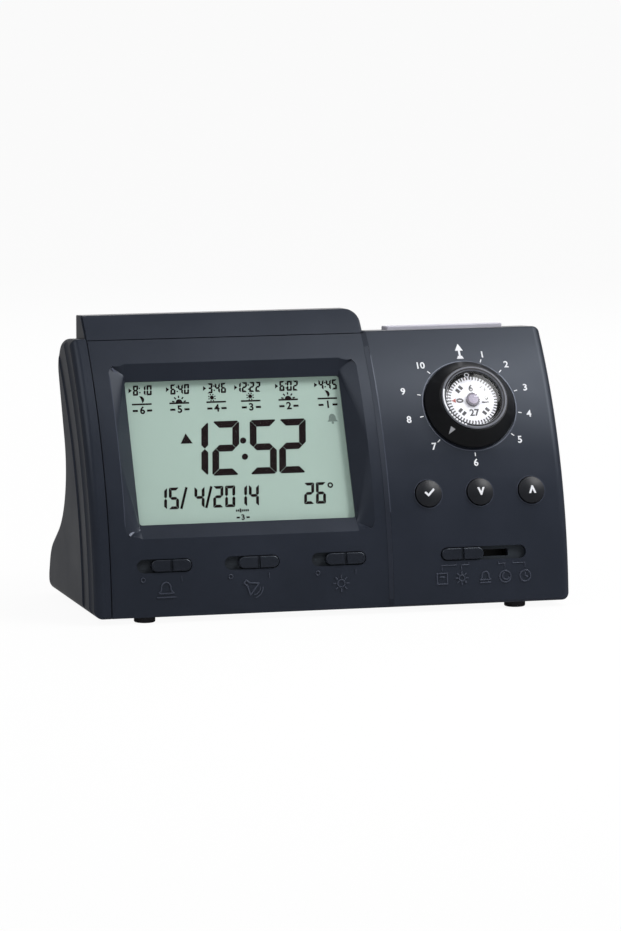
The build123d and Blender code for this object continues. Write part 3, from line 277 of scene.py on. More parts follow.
def moulded_group():
    """Group that puts out the colour, the roughness and the grain's height of a moulded surface."""
    group, inside, outside = new_group(
        "moulded_surface",
        [("Colour", COLOUR), ("Worn Colour", COLOUR), ("Grain Scale", FLOAT), ("Roughness", FLOAT),
         ("Roughness Spread", FLOAT)],
        [("Colour", COLOUR), ("Roughness", FLOAT), ("Height", FLOAT)])
    node, link = group.nodes.new, group.links.new
    place = node("ShaderNodeTexCoord")
    grain = node("ShaderNodeTexNoise")
    grain.inputs["Detail"].default_value = 3
    link(place.outputs["Object"], grain.inputs["Vector"])
    link(inside.outputs["Grain Scale"], grain.inputs["Scale"])
    handling = node("ShaderNodeTexNoise")
    handling.inputs["Scale"].default_value = 45
    handling.inputs["Detail"].default_value = 5
    link(place.outputs["Object"], handling.inputs["Vector"])
    patches = node("ShaderNodeMapRange")
    patches.inputs["From Min"].default_value = 0.35
    patches.inputs["From Max"].default_value = 0.75
    link(handling.outputs["Fac"], patches.inputs["Value"])
    blend = node("ShaderNodeMix")
    blend.data_type = "RGBA"
    link(patches.outputs["Result"], blend.inputs["Factor"])
    link(inside.outputs["Colour"], blend.inputs["A"])
    link(inside.outputs["Worn Colour"], blend.inputs["B"])
    spread = node("ShaderNodeMath")
    spread.operation = "MULTIPLY_ADD"
    link(patches.outputs["Result"], spread.inputs[0])
    link(inside.outputs["Roughness Spread"], spread.inputs[1])
    link(inside.outputs["Roughness"], spread.inputs[2])
    link(blend.outputs["Result"], outside.inputs["Colour"])
    link(spread.outputs["Value"], outside.inputs["Roughness"])
    link(grain.outputs["Fac"], outside.inputs["Height"])
    return group


moulded_surface = moulded_group()
print("nodes in the group:", len(moulded_surface.nodes))


# %% Materials that use the group
def moulded(name, colour, worn=None, grain=2200, rough=0.45, spread=0.08, bump=0.12, depth=0.05, **shader):
    """Material of a moulded, cast or pressed part. The rest are values for the shader's own sockets."""
    material = bpy.data.materials.new(name)
    material.use_nodes = True
    tree = material.node_tree
    surface = tree.nodes["Principled BSDF"]
    group = tree.nodes.new("ShaderNodeGroup")
    group.node_tree = moulded_surface
    group.inputs["Colour"].default_value = colour
    group.inputs["Worn Colour"].default_value = worn or tuple(min(1, 1.25 * c) for c in colour[:3]) + (1,)
    group.inputs["Grain Scale"].default_value = grain
    group.inputs["Roughness"].default_value = rough
    group.inputs["Roughness Spread"].default_value = spread
    tree.links.new(group.outputs["Colour"], surface.inputs["Base Color"])
    tree.links.new(group.outputs["Roughness"], surface.inputs["Roughness"])
    relief = tree.nodes.new("ShaderNodeBump")
    relief.inputs["Strength"].default_value = bump
    relief.inputs["Distance"].default_value = depth * MM
    tree.links.new(group.outputs["Height"], relief.inputs["Height"])
    tree.links.new(relief.outputs["Normal"], surface.inputs["Normal"])
    for socket, value in shader.items():
        surface.inputs[socket.replace("_", " ")].default_value = value
    return material


def wear(material, *names):
    """Give a material to nodes of the frame."""
    for name in names:
        piece = nodes[name]
        piece.data.materials.clear()
        piece.data.materials.append(material)
    print(material.name, "is on", ", ".join(names))


# %% [markdown]
# ## The case
#
# The shells are injection moulded in a blue-black plastic with a fine spark-eroded grain, which turns
# the lamp's reflection into a soft glow. The knob, the buttons and the slide knobs are the same
# colour family but smoother and darker, as they come from other moulds.

# %% Case, knob and button materials
blue_shine = (0.8, 0.88, 1.0, 1.0)
satin = dict(Specular_IOR_Level=0.4, Specular_Tint=blue_shine)
case_plastic = moulded("case_plastic", srgb(34, 38, 47), srgb(37, 41, 51), grain=1700, rough=0.29, bump=0.26,
                       Specular_IOR_Level=0.27, Specular_Tint=blue_shine)
wear(case_plastic, "front_bezel", "rear_housing", "battery_door")
knob_plastic = moulded("knob_plastic", srgb(17, 18, 21), grain=3000, rough=0.34, bump=0.1,
                       Specular_IOR_Level=0.22)
wear(knob_plastic, "selector_knob")
button_plastic = moulded("button_plastic", srgb(24, 26, 31), grain=3000, rough=0.36, bump=0.03,
                         Specular_IOR_Level=0.3)
wear(button_plastic, "set_button", "down_button", "up_button")
slide_plastic = moulded("slide_plastic", srgb(27, 30, 37), grain=3000, rough=0.22, bump=0.04, **satin)
wear(slide_plastic, "slide_knob_left", "slide_knob_middle", "slide_knob_right", "mode_knob")

# %% [markdown]
# ## Trim, and painted highlights on the edges
#
# The ring that holds the dome is grey and the light key is paler still, so that it can be found in the
# dark. The raised symbols, the step of the panel and its sharp edges get lighter and shinier versions of
# the case's plastic: painted highlights where they would catch the lamps, and painted light on the step's
# face.

# %% Trim and edges
ring_plastic = moulded("ring_plastic", srgb(20, 21, 25), grain=3000, rough=0.2, spread=0.04, bump=0.02,
                       Specular_IOR_Level=0.2)
trim_grey = moulded("trim_grey", srgb(104, 106, 114), grain=1500, rough=0.4, bump=0.02,
                    Specular_IOR_Level=0.2)
wear(trim_grey, "compass_ring")
key_plastic = moulded("key_plastic", srgb(182, 181, 192), grain=2600, rough=0.38, bump=0.15)
wear(key_plastic, "light_key")
cup_plastic = moulded("cup_plastic", srgb(8, 8, 10), grain=3000, rough=0.5, bump=0.1,
                      Specular_IOR_Level=0.1)
wear(cup_plastic, "compass_cup", "compass_card", "selector_rotor")
# Painted light: the strip on the step's face is lighter than the case, as if lit from the left.
painted_light_step = moulded("painted_light_step", srgb(40, 44, 54), srgb(44, 48, 59), grain=1700, rough=0.29, bump=0.26,
                       **satin)
# Painted light: the liners in the slots are a little lighter than the case, to lift the shade there.
painted_light_liner = moulded("painted_light_liner", srgb(40, 45, 51), grain=2000, rough=0.6, bump=0.1,
                      Specular_IOR_Level=0.2)
# Painted sheen: the raised symbols, the step's edge, the surround's edge and the button rims are lighter
# than the case.
painted_sheen_plastic = moulded("painted_sheen_plastic", srgb(56, 60, 71), srgb(62, 66, 78), grain=2600, rough=0.22,
                         bump=0.1, **satin)
# Painted highlight: paler still, for the knob's rim and the surround's corners, where edges would shine.
painted_highlight_plastic = moulded("painted_highlight_plastic", srgb(76, 80, 93), srgb(100, 104, 118), grain=900, rough=0.25, bump=0.05,
                    **satin)

# %% [markdown]
# ## Metal, rubber and boards
#
# The parts inside get their own finishes too: nickel-plated springs, zinc-plated screws, a green
# solder mask and the soft black of rubber feet. Most of them can't be seen in a closed clock, but they
# show through an open battery bay, and a part that is taken out should look right as well.

# %% Inner materials
nickel = moulded("nickel", srgb(190, 188, 180), grain=900, rough=0.25, Metallic=1.0)
wear(nickel, "battery_plates", "battery_springs", "selector_wiper", "selector_detent_spring",
     "quartz_crystal")
zinc = moulded("zinc", srgb(150, 152, 155), grain=1200, rough=0.32, Metallic=1.0)
wear(zinc, "case_screws", "base_screws", "board_screws")
brass = moulded("brass", srgb(200, 165, 90), grain=1500, rough=0.25, Metallic=1.0)
wear(brass, "compass_pivot")
ferrite = moulded("ferrite", srgb(52, 52, 55), grain=900, rough=0.6)
wear(ferrite, "speaker_magnet", "compass_magnet")
rubber = moulded("rubber", srgb(26, 26, 30), grain=1500, rough=0.8, bump=0.3)
wear(rubber, "feet", "zebra_strips")
solder_mask = moulded("solder_mask", srgb(18, 84, 48), srgb(24, 96, 56), grain=600, rough=0.3)
wear(solder_mask, "main_board", "selector_board", "button_board", "switch_board", "light_board")
resin = moulded("resin", srgb(18, 18, 19), grain=1500, rough=0.4)
wear(resin, "main_chip", "sound_chip", "temperature_sensor", "button_switches", "slide_switches",
     "mode_switch", "light_switch")
holder_plastic = moulded("holder_plastic", srgb(205, 205, 200), grain=1800, rough=0.5)
wear(holder_plastic, "lcd_holder", "light_guide", "backlight_lamp", "speaker_frame")
cell_wrap = moulded("cell_wrap", srgb(60, 66, 78), grain=700, rough=0.3, bump=0.05)
wear(cell_wrap, "battery_cells")
pressed_paper = moulded("pressed_paper", srgb(28, 28, 28), grain=1600, rough=0.9, bump=0.5)
wear(pressed_paper, "speaker_cone")

# %% [markdown]
# ## Glass and the display
#
# The window is so clear and so flat that a nearly transparent film stands for it. The dome is real
# glass to the renderer, because its curve has to mirror the lamps; shadow rays pass straight through
# it, so the card under it is lit. The display's own glass is a flat grey-green with a painted glow: it
# gives off a little light of its own colour, which lifts the shade that the surround throws on it.

# %% Window and dome
def clear(name, tint, rough, shine, **more):
    """Material of a clear part, with its values on the shader's own sockets."""
    material = bpy.data.materials.new(name)
    material.use_nodes = True
    surface = material.node_tree.nodes["Principled BSDF"]
    values = dict(Base_Color=tint, Roughness=rough, Specular_IOR_Level=shine, **more)
    for socket, value in values.items():
        surface.inputs[socket.replace("_", " ")].default_value = value
    return material


window_clear = clear("window_clear", srgb(60, 70, 66), 0.2, 0.3, Alpha=0.03)
wear(window_clear, "lcd_window")
dome_clear = clear("dome_clear", (1, 1, 1, 1), 0.02, 0.4, Transmission_Weight=1.0, IOR=1.49)
dome_tree = dome_clear.node_tree
through = dome_tree.nodes.new("ShaderNodeBsdfTransparent")
ray_kind = dome_tree.nodes.new("ShaderNodeLightPath")
either = dome_tree.nodes.new("ShaderNodeMixShader")
dome_tree.links.new(ray_kind.outputs["Is Shadow Ray"], either.inputs["Fac"])
dome_tree.links.new(dome_tree.nodes["Principled BSDF"].outputs["BSDF"], either.inputs[1])
dome_tree.links.new(through.outputs["BSDF"], either.inputs[2])
dome_tree.links.new(either.outputs["Shader"], dome_tree.nodes["Material Output"].inputs["Surface"])
wear(dome_clear, "compass_dome")

# %% Glass of the display and face of the card
# Painted glow: the display's glass gives off light of its own colour, though it is no lamp.
lcd_glow_colour = srgb(161, 184, 174)
lcd_painted_glow = moulded("lcd_painted_glow", srgb(147, 168, 159), srgb(151, 172, 163), grain=400, rough=0.5, bump=0.0,
                   Emission_Color=lcd_glow_colour, Emission_Strength=0.22)
wear(lcd_painted_glow, "lcd_glass")
card_print = moulded("card_print", srgb(216, 217, 224), srgb(221, 222, 229), grain=1500, rough=0.5,
                     bump=0.03)

# %% [markdown]
# ## Print and ink
#
# The white marks are pad printed: a film of ink a few hundredths of a millimetre thick. The same white
# makes the painted highlight on the compass ring, and the pale ink the painted reflection of the bubble.
# The display's segments are nearly black with a warm tint, and the moulded symbols take a lighter
# version of the case's colour, a painted highlight.

# %% Inks
white_ink_and_glint = moulded("white_ink_and_glint", srgb(226, 228, 232), srgb(216, 218, 224), grain=2500, rough=0.5, bump=0.02)
segment_ink = moulded("segment_ink", srgb(27, 17, 19), srgb(31, 21, 23), grain=800, rough=0.8, bump=0.0,
                      Specular_IOR_Level=0.05)
faint_ink = moulded("faint_ink", srgb(116, 132, 126), srgb(122, 138, 132), grain=800, rough=0.8, bump=0.0,
                    Specular_IOR_Level=0.1)
card_ink = moulded("card_ink", srgb(30, 30, 36), srgb(44, 44, 50), grain=2500, rough=0.5, bump=0.02)
red_ink = moulded("red_ink", srgb(150, 62, 52), srgb(160, 76, 66), grain=2500, rough=0.5, bump=0.02)
# The pale ink is the pointer's print and the painted reflection of the bubble.
pale_ink_and_glint = moulded("pale_ink_and_glint", srgb(178, 180, 186), srgb(170, 172, 178), grain=2500, rough=0.5,
                      bump=0.02)
jewel_dark = moulded("jewel_dark", srgb(70, 65, 78), grain=1200, rough=0.2, bump=0.0)
jewel_light = moulded("jewel_light", srgb(108, 101, 120), srgb(158, 152, 170), grain=500, rough=0.15,
                      bump=0.0)
ink = 0.06 * MM
print("ink stands", ink / MM, "mm proud")


# %% Placing a finished piece
def place(parts, name, body, material):
    """Join parts into a named piece that rides on a body."""
    piece = join(parts, name)
    piece.data.materials.clear()
    piece.data.materials.append(material)
    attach(piece, body)
    print(name, "rides on", body, "and has", len(piece.data.polygons), "faces")
    return piece


# %% [markdown]
# ## The figures of the display
#
# Each figure is made of seven bars whose ends are cut at 45 degrees, so that they meet in neat
# corners. Three bars are modelled for each size of figure: a flat one for the top and the bottom, an
# upright one for the sides and a pointed one for the middle. The rest are copies, turned into place.

# %% Seven-segment figures
LIT = {"0": "abcdef", "1": "bc", "2": "abged", "3": "abgcd", "4": "fgbc", "5": "afgcd", "6": "afgedc",
       "8": "abcdefg"}
slant = Matrix(((1, math.tan(math.radians(6)), 0, 0), (0, 1, 0, 0), (0, 0, 1, 0), (0, 0, 0, 1)))


def number(text, width, height, stroke, pitch, gap):
    """Row of figures centred on the origin, as a list of bars. Sizes are in millimetres."""
    side, half = width / 2, height / 2
    corner = stroke * 0.3
    bars = {
        "flat": outline([(corner - side, 0), (side - corner, 0), (side - corner / 2 - gap / 2, corner / 2),
                         (side - stroke - gap / 2, stroke), (stroke + gap / 2 - side, stroke),
                         (corner / 2 + gap / 2 - side, corner / 2)], ink),
        "upright": outline([(corner, 0), (half - stroke / 2 - gap / 2, 0), (half - gap / 2, stroke / 2),
                            (half - stroke / 2 - gap / 2, stroke), (stroke + gap / 2, stroke),
                            (corner / 2 + gap / 2, corner / 2)], ink),
        "middle": outline([(stroke / 2 + gap / 2 - side, 0), (stroke + gap / 2 - side, -stroke / 2),
                           (side - stroke - gap / 2, -stroke / 2), (side - stroke / 2 - gap / 2, 0),
                           (side - stroke - gap / 2, stroke / 2),
                           (stroke + gap / 2 - side, stroke / 2)], ink),
    }
    flip = Matrix.Diagonal((1, -1, 1, 1))
    spots = {
        "a": ("flat", shift(0, half * MM, 180)),
        "d": ("flat", shift(0, -half * MM)),
        "g": ("middle", Matrix.Identity(4)),
        "b": ("upright", shift(side * MM, half * MM, -90) @ flip),
        "c": ("upright", shift(side * MM, -half * MM, 90)),
        "f": ("upright", shift(-side * MM, half * MM, -90)),
        "e": ("upright", shift(-side * MM, -half * MM, 90) @ flip),
    }
    lit = []
    for step, figure in enumerate(text):
        x = (step - (len(text) - 1) / 2) * pitch * MM
        for key in LIT[figure]:
            kind, matrix = spots[key]
            lit.append(copy_of(bars[kind], shift(x, 0) @ matrix))
    remove(*bars.values())
    return lit


# %% Places on the display's glass
glass_front = 5.1 * MM


def put(parts, x, up, lean=True):
    """Move flat parts to their place on the display's glass, in millimetres from its middle."""
    matrix = on_display(x * MM, up * MM, glass_front) @ (slant if lean else Matrix.Identity(4))
    for part in parts:
        part.data.transform(matrix)
    return parts


# %% The time in large figures
big = dict(width=9.9, height=20.3, stroke=2.5, pitch=10.8, gap=0.16)
time_row = 1.6
parts = put(number("1", **big), -15.9, time_row) + put(number("2", **big), -4.5, time_row)
parts += put(number("52", **big), 14.7, time_row)
for up in (4.2, -1.85):
    parts += put([disc(1.15 * MM, ink, 24)], 2.15, up)
place(parts, "display_time", "case", segment_ink)

# %% [markdown]
# ## The date, the temperature and the day
#
# The figures of this row are smaller and leave thinner gaps. The strokes between them lean like an
# italic, and seven short marks under the date stand for the days of the week, with the third one lit.

# %% Date, temperature and the mark for the second half of the day
middle = dict(width=3.7, height=8.0, stroke=1.05, pitch=4.35, gap=0.12)
date_row, day_x, day_row, day_count, lit_day = -16.4, -1.0, -24.4, 7, 2
parts = []
for text, x in (("15", -27.6), ("4", -16.1), ("2014", -2.7), ("26", 26.35)):
    parts += put(number(text, **middle), x, date_row)
for x in (-21.8, -12.7):
    parts += put([bake(bar(8.4 * MM, 0.9 * MM, ink), shift(0, 0, 71))], x, date_row, lean=False)
parts += put([ring(1.05 * MM, 0.5 * MM, ink, 24)], 32.3, -13.6, lean=False)
parts += put([outline([(-2.2, -1.8), (2.2, -1.8), (0, 2.0)], ink)], -18.6, 5.6, lean=False)
for day in range(day_count):
    height = 1.5 if day == lit_day else 0.8
    parts += put([bar(0.5 * MM, height * MM, ink)], -3.1 + 0.7 * day, -21.8, lean=False)
parts += put([figures("3", 2.8 * MM, ink, 0.03)], day_x, day_row, lean=False)
for side in (-1, 1):
    parts += put([bar(1.2 * MM, 0.6 * MM, ink)], day_x + side * 1.8, day_row, lean=False)
place(parts, "display_date", "case", segment_ink)

# %% [markdown]
# ## Six times along the top
#
# Each small time has a pictogram of the sun or the moon over the horizon and a plain number under it,
# so the row reads without any words.

# %% Small times with their numbers
small = dict(width=1.9, height=3.8, stroke=0.66, pitch=2.25, gap=0.04)
columns = [("8", "10", -33.4), ("6", "40", -19.7), ("3", "46", -6.1), ("12", "22", 6.6), ("6", "02", 20.5),
           ("4", "45", 35.0)]
small_row, numeral_row, horizon_row = 24.2, 16.6, 19.0
parts = []
for order, (hour, minute, x) in enumerate(columns):
    more_digits = len(hour) - 1
    parts += put(number(hour, **small), x - 1.75 - more_digits * small["pitch"] / 2, small_row)
    parts += put(number(minute, **small), x + 2.1, small_row)
    for up in (25.0, 23.4):
        parts += put([bar(0.5 * MM, 0.5 * MM, ink)], x - 0.25, up)
    arrowhead = outline([(-0.55, -0.9), (0.65, 0), (-0.55, 0.9)], ink)
    parts += put([arrowhead], x - 3.75 - more_digits * 1.2, small_row)
    parts += put([figures(str(len(columns) - order), 3.8 * MM, ink, 0.03)], x, numeral_row, lean=False)
    for side in (-1, 1):
        parts += put([bar(1.9 * MM, 0.75 * MM, ink)], x + side * 2.6, numeral_row, lean=False)
place(parts, "display_small_times", "case", segment_ink)


# %% Shapes for the sun and the moon
def half_disc(radius, steps=14):
    """Upper half of a disc, flat side down."""
    return outline([(radius * math.cos(math.pi * i / steps), radius * math.sin(math.pi * i / steps))
                    for i in range(steps + 1)], ink)


def crescent(radius, bite=0.45, steps=14):
    """Moon whose inner edge is a flatter arc."""
    outer = [(radius * math.sin(math.pi * i / steps), radius * math.cos(math.pi * i / steps))
             for i in range(steps + 1)]
    inner = [(bite * x, y) for x, y in outer[-2:0:-1]]
    return outline(outer + inner, ink)


def rays(inner, outer, first, last, count, width):
    """Short bars that stand round a sun, from one angle to another."""
    beams = []
    for i in range(count):
        angle = first + (last - first) * i / max(1, count - 1)
        middle_radius = (inner + outer) / 2 * MM
        beams.append(bake(bar((outer - inner) * MM, width * MM, ink),
                          shift(0, 0, angle) @ Matrix.Translation((middle_radius, 0, 0))))
    return beams


# %% Moon at night, half a sun at dawn and dusk, a whole sun by day
sky_row, half_sun_row = 20.7, 19.2
parts = []
for order, (hour, minute, x) in enumerate(columns):
    parts += put([bar(7.2 * MM, 0.6 * MM, ink)], x, horizon_row, lean=False)
    if order in (0, 5):
        parts += put([bake(crescent(1.35, 0.2), shift(0, 0, 20))], x - 0.3, sky_row, lean=False)
    elif order in (1, 4):
        parts += put([half_disc(1.25)] + rays(1.7, 2.6, 12, 168, 5, 0.5), x, half_sun_row, lean=False)
    else:
        aside = -1.4 if order == 2 else 0
        whole_sun = [disc(0.75 * MM, ink, 20)] + rays(0.95, 1.45, 22, 338, 8, 0.4)
        parts += put(whole_sun, x + aside, sky_row, lean=False)
place(parts, "display_pictograms", "case", segment_ink)

# %% Bell for the alarm
bell_shape = [(-2.0, -1.2), (2.0, -1.2), (1.35, -0.5), (1.2, 0.8), (0.7, 1.5), (0, 1.75), (-0.7, 1.5),
              (-1.2, 0.8), (-1.35, -0.5)]
bell = [outline(bell_shape, ink), bake(disc(0.45 * MM, ink, 16), shift(0, -1.65 * MM))]
place(put(bell, 36.0, 11.4, lean=False), "display_alarm_sign", "case", faint_ink)

# %% [markdown]
# ## The compass in the knob
#
# The card is printed with forty-eight ticks, a number every ninety degrees and a small red triangle.
# One tick is modelled and copied round the card. The ring that holds the dome gets a row of white marks
# on its lower left only, a painted highlight; the bubble in the liquid under the dome is a pale ring, a
# painted reflection; and a pale pointer lies on the knob's cone.

# %% Places on the card and the knob
knob_radius = 17.3
knob_x, knob_arc = 55.3, 72.7
float_top, card_top, jewel_top, bubble_top, ring_top = 3.9, 4.1, 5.3, 6.3, 7.3


def on_knob(parts, lift):
    """Move flat parts from the knob's axis to a height above the front, in millimetres."""
    matrix = on_front(knob_x * MM, knob_arc * MM, lift * MM)
    for part in parts:
        part.data.transform(matrix)
    return parts


def clock_place(angle, radius, turn=0.0):
    """Matrix of a place so many degrees clockwise from the top, at a radius in millimetres."""
    return Matrix.Rotation(math.radians(-angle), 4, "Z") @ shift(0, radius * MM, turn)


def arc_band(inner, outer, first, last, depth, steps=10):
    """Curved band from one clockwise angle to another."""
    turns = [math.radians(first + (last - first) * i / steps) for i in range(steps + 1)]
    points = [(outer * math.sin(a), outer * math.cos(a)) for a in turns]
    points += [(inner * math.sin(a), inner * math.cos(a)) for a in reversed(turns)]
    return outline(points, depth)


print("knob axis at x", knob_x, "and", knob_arc, "mm up the front")

# %% Card with its print
card = disc(9.1 * MM, (card_top - float_top) * MM, 96)
place(on_knob([card], float_top), "card_face", "compass", card_print)
tick_count = 48
tick = bar(0.5 * MM, 1.15 * MM, ink)
parts = [copy_of(tick, clock_place(360 / tick_count * i, 8.5)) for i in range(tick_count)]
remove(tick)
for angle, text in ((270, "0"), (0, "9"), (90, "18"), (180, "27")):
    parts.append(bake(figures(text, 3.5 * MM, ink, 0.035), clock_place(angle, 4.9, 180)))
for angle in (45, 135, 225, 315):
    for side in (-0.85, 0.85):
        parts.append(bake(bar(1.1 * MM, 1.7 * MM, ink), clock_place(angle, 6.2) @ shift(side * MM, 0)))
place(on_knob(parts, card_top), "card_marks", "compass", card_ink)
red_mark = outline([(-0.85, -0.75), (0.85, -0.75), (0, 0.85)], ink)
place(on_knob([bake(red_mark, clock_place(270, 7.0))], card_top), "card_triangle", "compass", red_ink)
jewel_wall = ring(2.5 * MM, 1.75 * MM, (jewel_top + 0.06 - card_top) * MM)
place(on_knob([jewel_wall], card_top), "jewel_rim", "compass", jewel_dark)
place(on_knob([disc(1.77 * MM, 0.1 * MM, 40)], jewel_top), "jewel_cap", "compass", jewel_light)

# %% Dark inlay, painted glints and bubble
place(on_knob([ring(11.3 * MM, 10.75 * MM, ink, 96)], ring_top), "ring_inlay", "selector", ring_plastic)
# Painted highlight: white marks only on the ring's lower left, where its ticks would catch the light.
glint_inner, glint_outer = 11.15, 11.75
parts = [arc_band(glint_inner, glint_outer, 249, 288, ink)]
parts += [arc_band(glint_inner, glint_outer, first, first + 3.8, ink, 3) for first in range(203, 247, 6)]
place(on_knob(parts, ring_top + 0.05), "ring_glints", "selector", white_ink_and_glint)
# Painted reflection: the bubble is a pale ring, the light its rim would throw back.
bubble = bake(ring(0.9 * MM, 0.6 * MM, 0.12 * MM, 24), clock_place(350, 8.9))
place(on_knob([bubble], bubble_top), "air_bubble_glint", "case", pale_ink_and_glint)

# %% Pointer on the cone
cone_angle = math.degrees(math.atan2(5.6, 4.1))
lay_down = clock_place(220, 14.65) @ Matrix.Translation((0, 0, 3.6 * MM)) @ Matrix.Rotation(
    math.radians(-cone_angle), 4, "X")
pointer = bake(outline([(-0.95, -1.5), (0.95, -1.5), (0, 1.6)], 0.1 * MM), lay_down)
place(on_knob([pointer], 0.0), "pointer", "selector", pale_ink_and_glint)
print("cone leans", round(cone_angle, 1), "degrees")

# %% [markdown]
# ## Marks round the selector and on the buttons
#
# The selector has ten numbered places and an arrow over the compass. Ink on the curved front is so thin
# and so small that each mark can stay flat. The buttons' marks ride on the buttons.

# %% Numbers round the selector
SPOTS = [(63.3, 92.7), (71.6, 88.3), (77.2, 78.8), (77.1, 68.5), (72.4, 58.8), (55.0, 50.8), (40.0, 57.3),
         (32.0, 67.7), (31.3, 78.7), (39.3, 88.9)]


def on_case(parts, x, arc, lift=0.0):
    """Move flat parts to a place on the curved front, in millimetres."""
    for part in parts:
        part.data.transform(on_front(x * MM, arc * MM, lift * MM))
    return parts


parts = []
for order, (x, arc) in enumerate(SPOTS):
    parts += on_case([figures(str(order + 1), 3.6 * MM, ink, 0.02)], x, arc)
    across, along = knob_x - x, knob_arc - arc
    far = math.hypot(across, along)
    tick = (far - knob_radius - 1.5) / far
    turn = math.degrees(math.atan2(along, across))
    dash = bake(bar(1.3 * MM, 0.35 * MM, ink), shift(0, 0, turn))
    parts += on_case([dash], x + across * tick, arc + along * tick)
place(parts, "selector_numbers", "case", white_ink_and_glint)
print("selector places:", len(SPOTS))

# %% Arrow over the compass
arrow = [outline([(-1.5, 0), (1.5, 0), (0, 2.9)], ink),
         bake(bar(0.75 * MM, 2.4 * MM, ink), shift(0, -1.2 * MM)),
         bake(outline([(-1.3, 0), (1.3, 0), (0.75, 1.2), (-0.75, 1.2)], ink), shift(0, -3.4 * MM))]
place(on_case(arrow, 54.9, 94.7), "north_arrow", "case", white_ink_and_glint)

# %% Marks on the buttons
button_places, button_arc, cap_top = (36.1, 55.3, 74.5), 40.1, 1.9
chevron = [(-1.35, 1.4), (-0.62, 1.4), (0, -0.1), (0.62, 1.4), (1.35, 1.4), (0.25, -1.4), (-0.25, -1.4)]
tick_mark = [(-1.9, 0.1), (-1.35, 0.65), (-0.45, -0.25), (1.45, 1.65), (1.95, 1.1), (-0.45, -1.3)]
button_marks = (("set", tick_mark, 0), ("down", chevron, 0), ("up", chevron, 180))
for x, (button, points, turn) in zip(button_places, button_marks):
    mark = bake(outline(points, 0.16 * MM), shift(0, 0, turn))
    place(on_case([mark], x, button_arc, cap_top - 0.1), button + "_mark", button + "_key", white_ink_and_glint)

# %% [markdown]
# ## Rims round the buttons and the knob
#
# The holes of the buttons and the seat of the knob have a sharp moulded edge. Its thin bright circle is
# painted: each rim is a raised ring in a lighter plastic, a painted highlight. The front is curved, so one
# flat ring would sink into it at the sides. Each rim is made of short bars instead, every one of them laid
# on the curve at its own place.

# %% Rims
rim_height, rim_width, rim_lift = 0.12, 0.34, -0.04


def rim(x, arc, radius, length, count):
    """Raised circle on the front, made of so many bars."""
    bars = []
    for i in range(count):
        angle = 360 / count * i
        across, along = radius * math.sin(math.radians(angle)), radius * math.cos(math.radians(angle))
        segment = bake(bar(length * MM, rim_width * MM, rim_height * MM), shift(0, 0, -angle))
        bars += on_case([segment], x + across, arc + along, rim_lift)
    return bars


parts = []
for x in button_places:
    parts += rim(x, button_arc, 5.2, 0.96, 36)
# Painted highlights: the button rims and the knob's rim are lighter than the case round them.
place(parts, "button_rims", "case", painted_sheen_plastic)
place(rim(knob_x, knob_arc, 17.45, 1.26, 90), "knob_rim", "case", painted_highlight_plastic)

# %% [markdown]
# ## Edges of the panel, and the parting line
#
# The display panel is sunk a millimetre into the front, so a step runs up beside the controls. Its edge
# and the left edge of the display surround get thin beads in a lighter plastic, a painted highlight, and
# the step's face gets a lighter strip, painted light. A bead is a row of short bars that follows the
# curve. The same bead, set in the walls, closes the gap between the two shells, where one could
# otherwise look through the clock from its end.

# %% A line of short bars up the front
def bead(x, first, last, lift, width=rim_width, slope=0.0, height=rim_height, step=2.6):
    """Thin line that runs up the front from one place to another, in millimetres and degrees."""
    count = round((last - first) / step)
    pitch = (last - first) / count
    tilt = Matrix.Rotation(math.radians(-slope), 4, "Y")
    bars = []
    for i in range(count):
        segment = bake(bar(width * MM, (pitch + 0.04) * MM, height * MM), tilt)
        bars += on_case([segment], x, first + pitch * (i + 0.5), lift)
    return bars


# %% Strip in the parting line
parting_lift, parting_height, base_length, end_wall = -10.73, 0.31, 170.6, 86.0
parts = bead(0, 0.85, 2.25, parting_lift, base_length, height=parting_height, step=1.4)
for side in (-1, 1):
    parts += bead(end_wall * side, 1.6, 111.5, parting_lift, 0.95, height=parting_height, step=4)
place(parts, "parting_strip", "case", slide_plastic)

# %% Step and surround
case_half, control_width, surround_half = 87.5, 65.9, 45.6
step_x = case_half - control_width
surround_x = display_x / MM - surround_half
# Painted highlight on the step's edge and the surround's edge; painted light on the step's face.
place(bead(step_x, 34, 94, -0.05, 0.42), "step_edge", "case", painted_sheen_plastic)
place(bead(step_x - 0.85, 3, 98, -0.55, 1.7, 32), "step_face", "case", painted_light_step)
place(bead(surround_x, 32.4, 89.4, -1.06, 0.4), "surround_edge", "case", painted_sheen_plastic)


# %% Corners of the surround
def corner_fillet(side, end, width=0.8, height=0.12):
    """Flat strip that fills the valley where two walls of the surround meet."""
    outer = Vector((side * 44.2, end * 31.2, 0)) * MM
    inner = Vector((side * 39.9, end * 27.0, -2.5)) * MM
    along = (outer - inner).normalized()
    out = (Vector((0, 0, 1)) - along.z * along).normalized()
    across = out.cross(along)
    matrix = Matrix((along, across, out)).transposed().to_4x4()
    matrix.translation = (outer + inner) / 2 + height * MM * out
    strip = bar((outer - inner).length, width * MM, height * MM)
    return bake(strip, on_display(0, 0, 0) @ matrix)


# Painted highlight: two strips in a paler plastic, in the left corners only, where the valleys would shine.
place([corner_fillet(-1, end) for end in (-1, 1)], "surround_corners", "case", painted_highlight_plastic)

# %% [markdown]
# ## Symbols moulded into the front
#
# Each slide has a small raised symbol under it. The symbols are a lighter, shinier plastic than the case,
# a painted highlight on their edges. A symbol is drawn as strokes, each of them a short raised bar, and a
# bevel takes the sharpness off.

# %% Strokes
relief_height = 0.36 * MM
sunk = -0.06


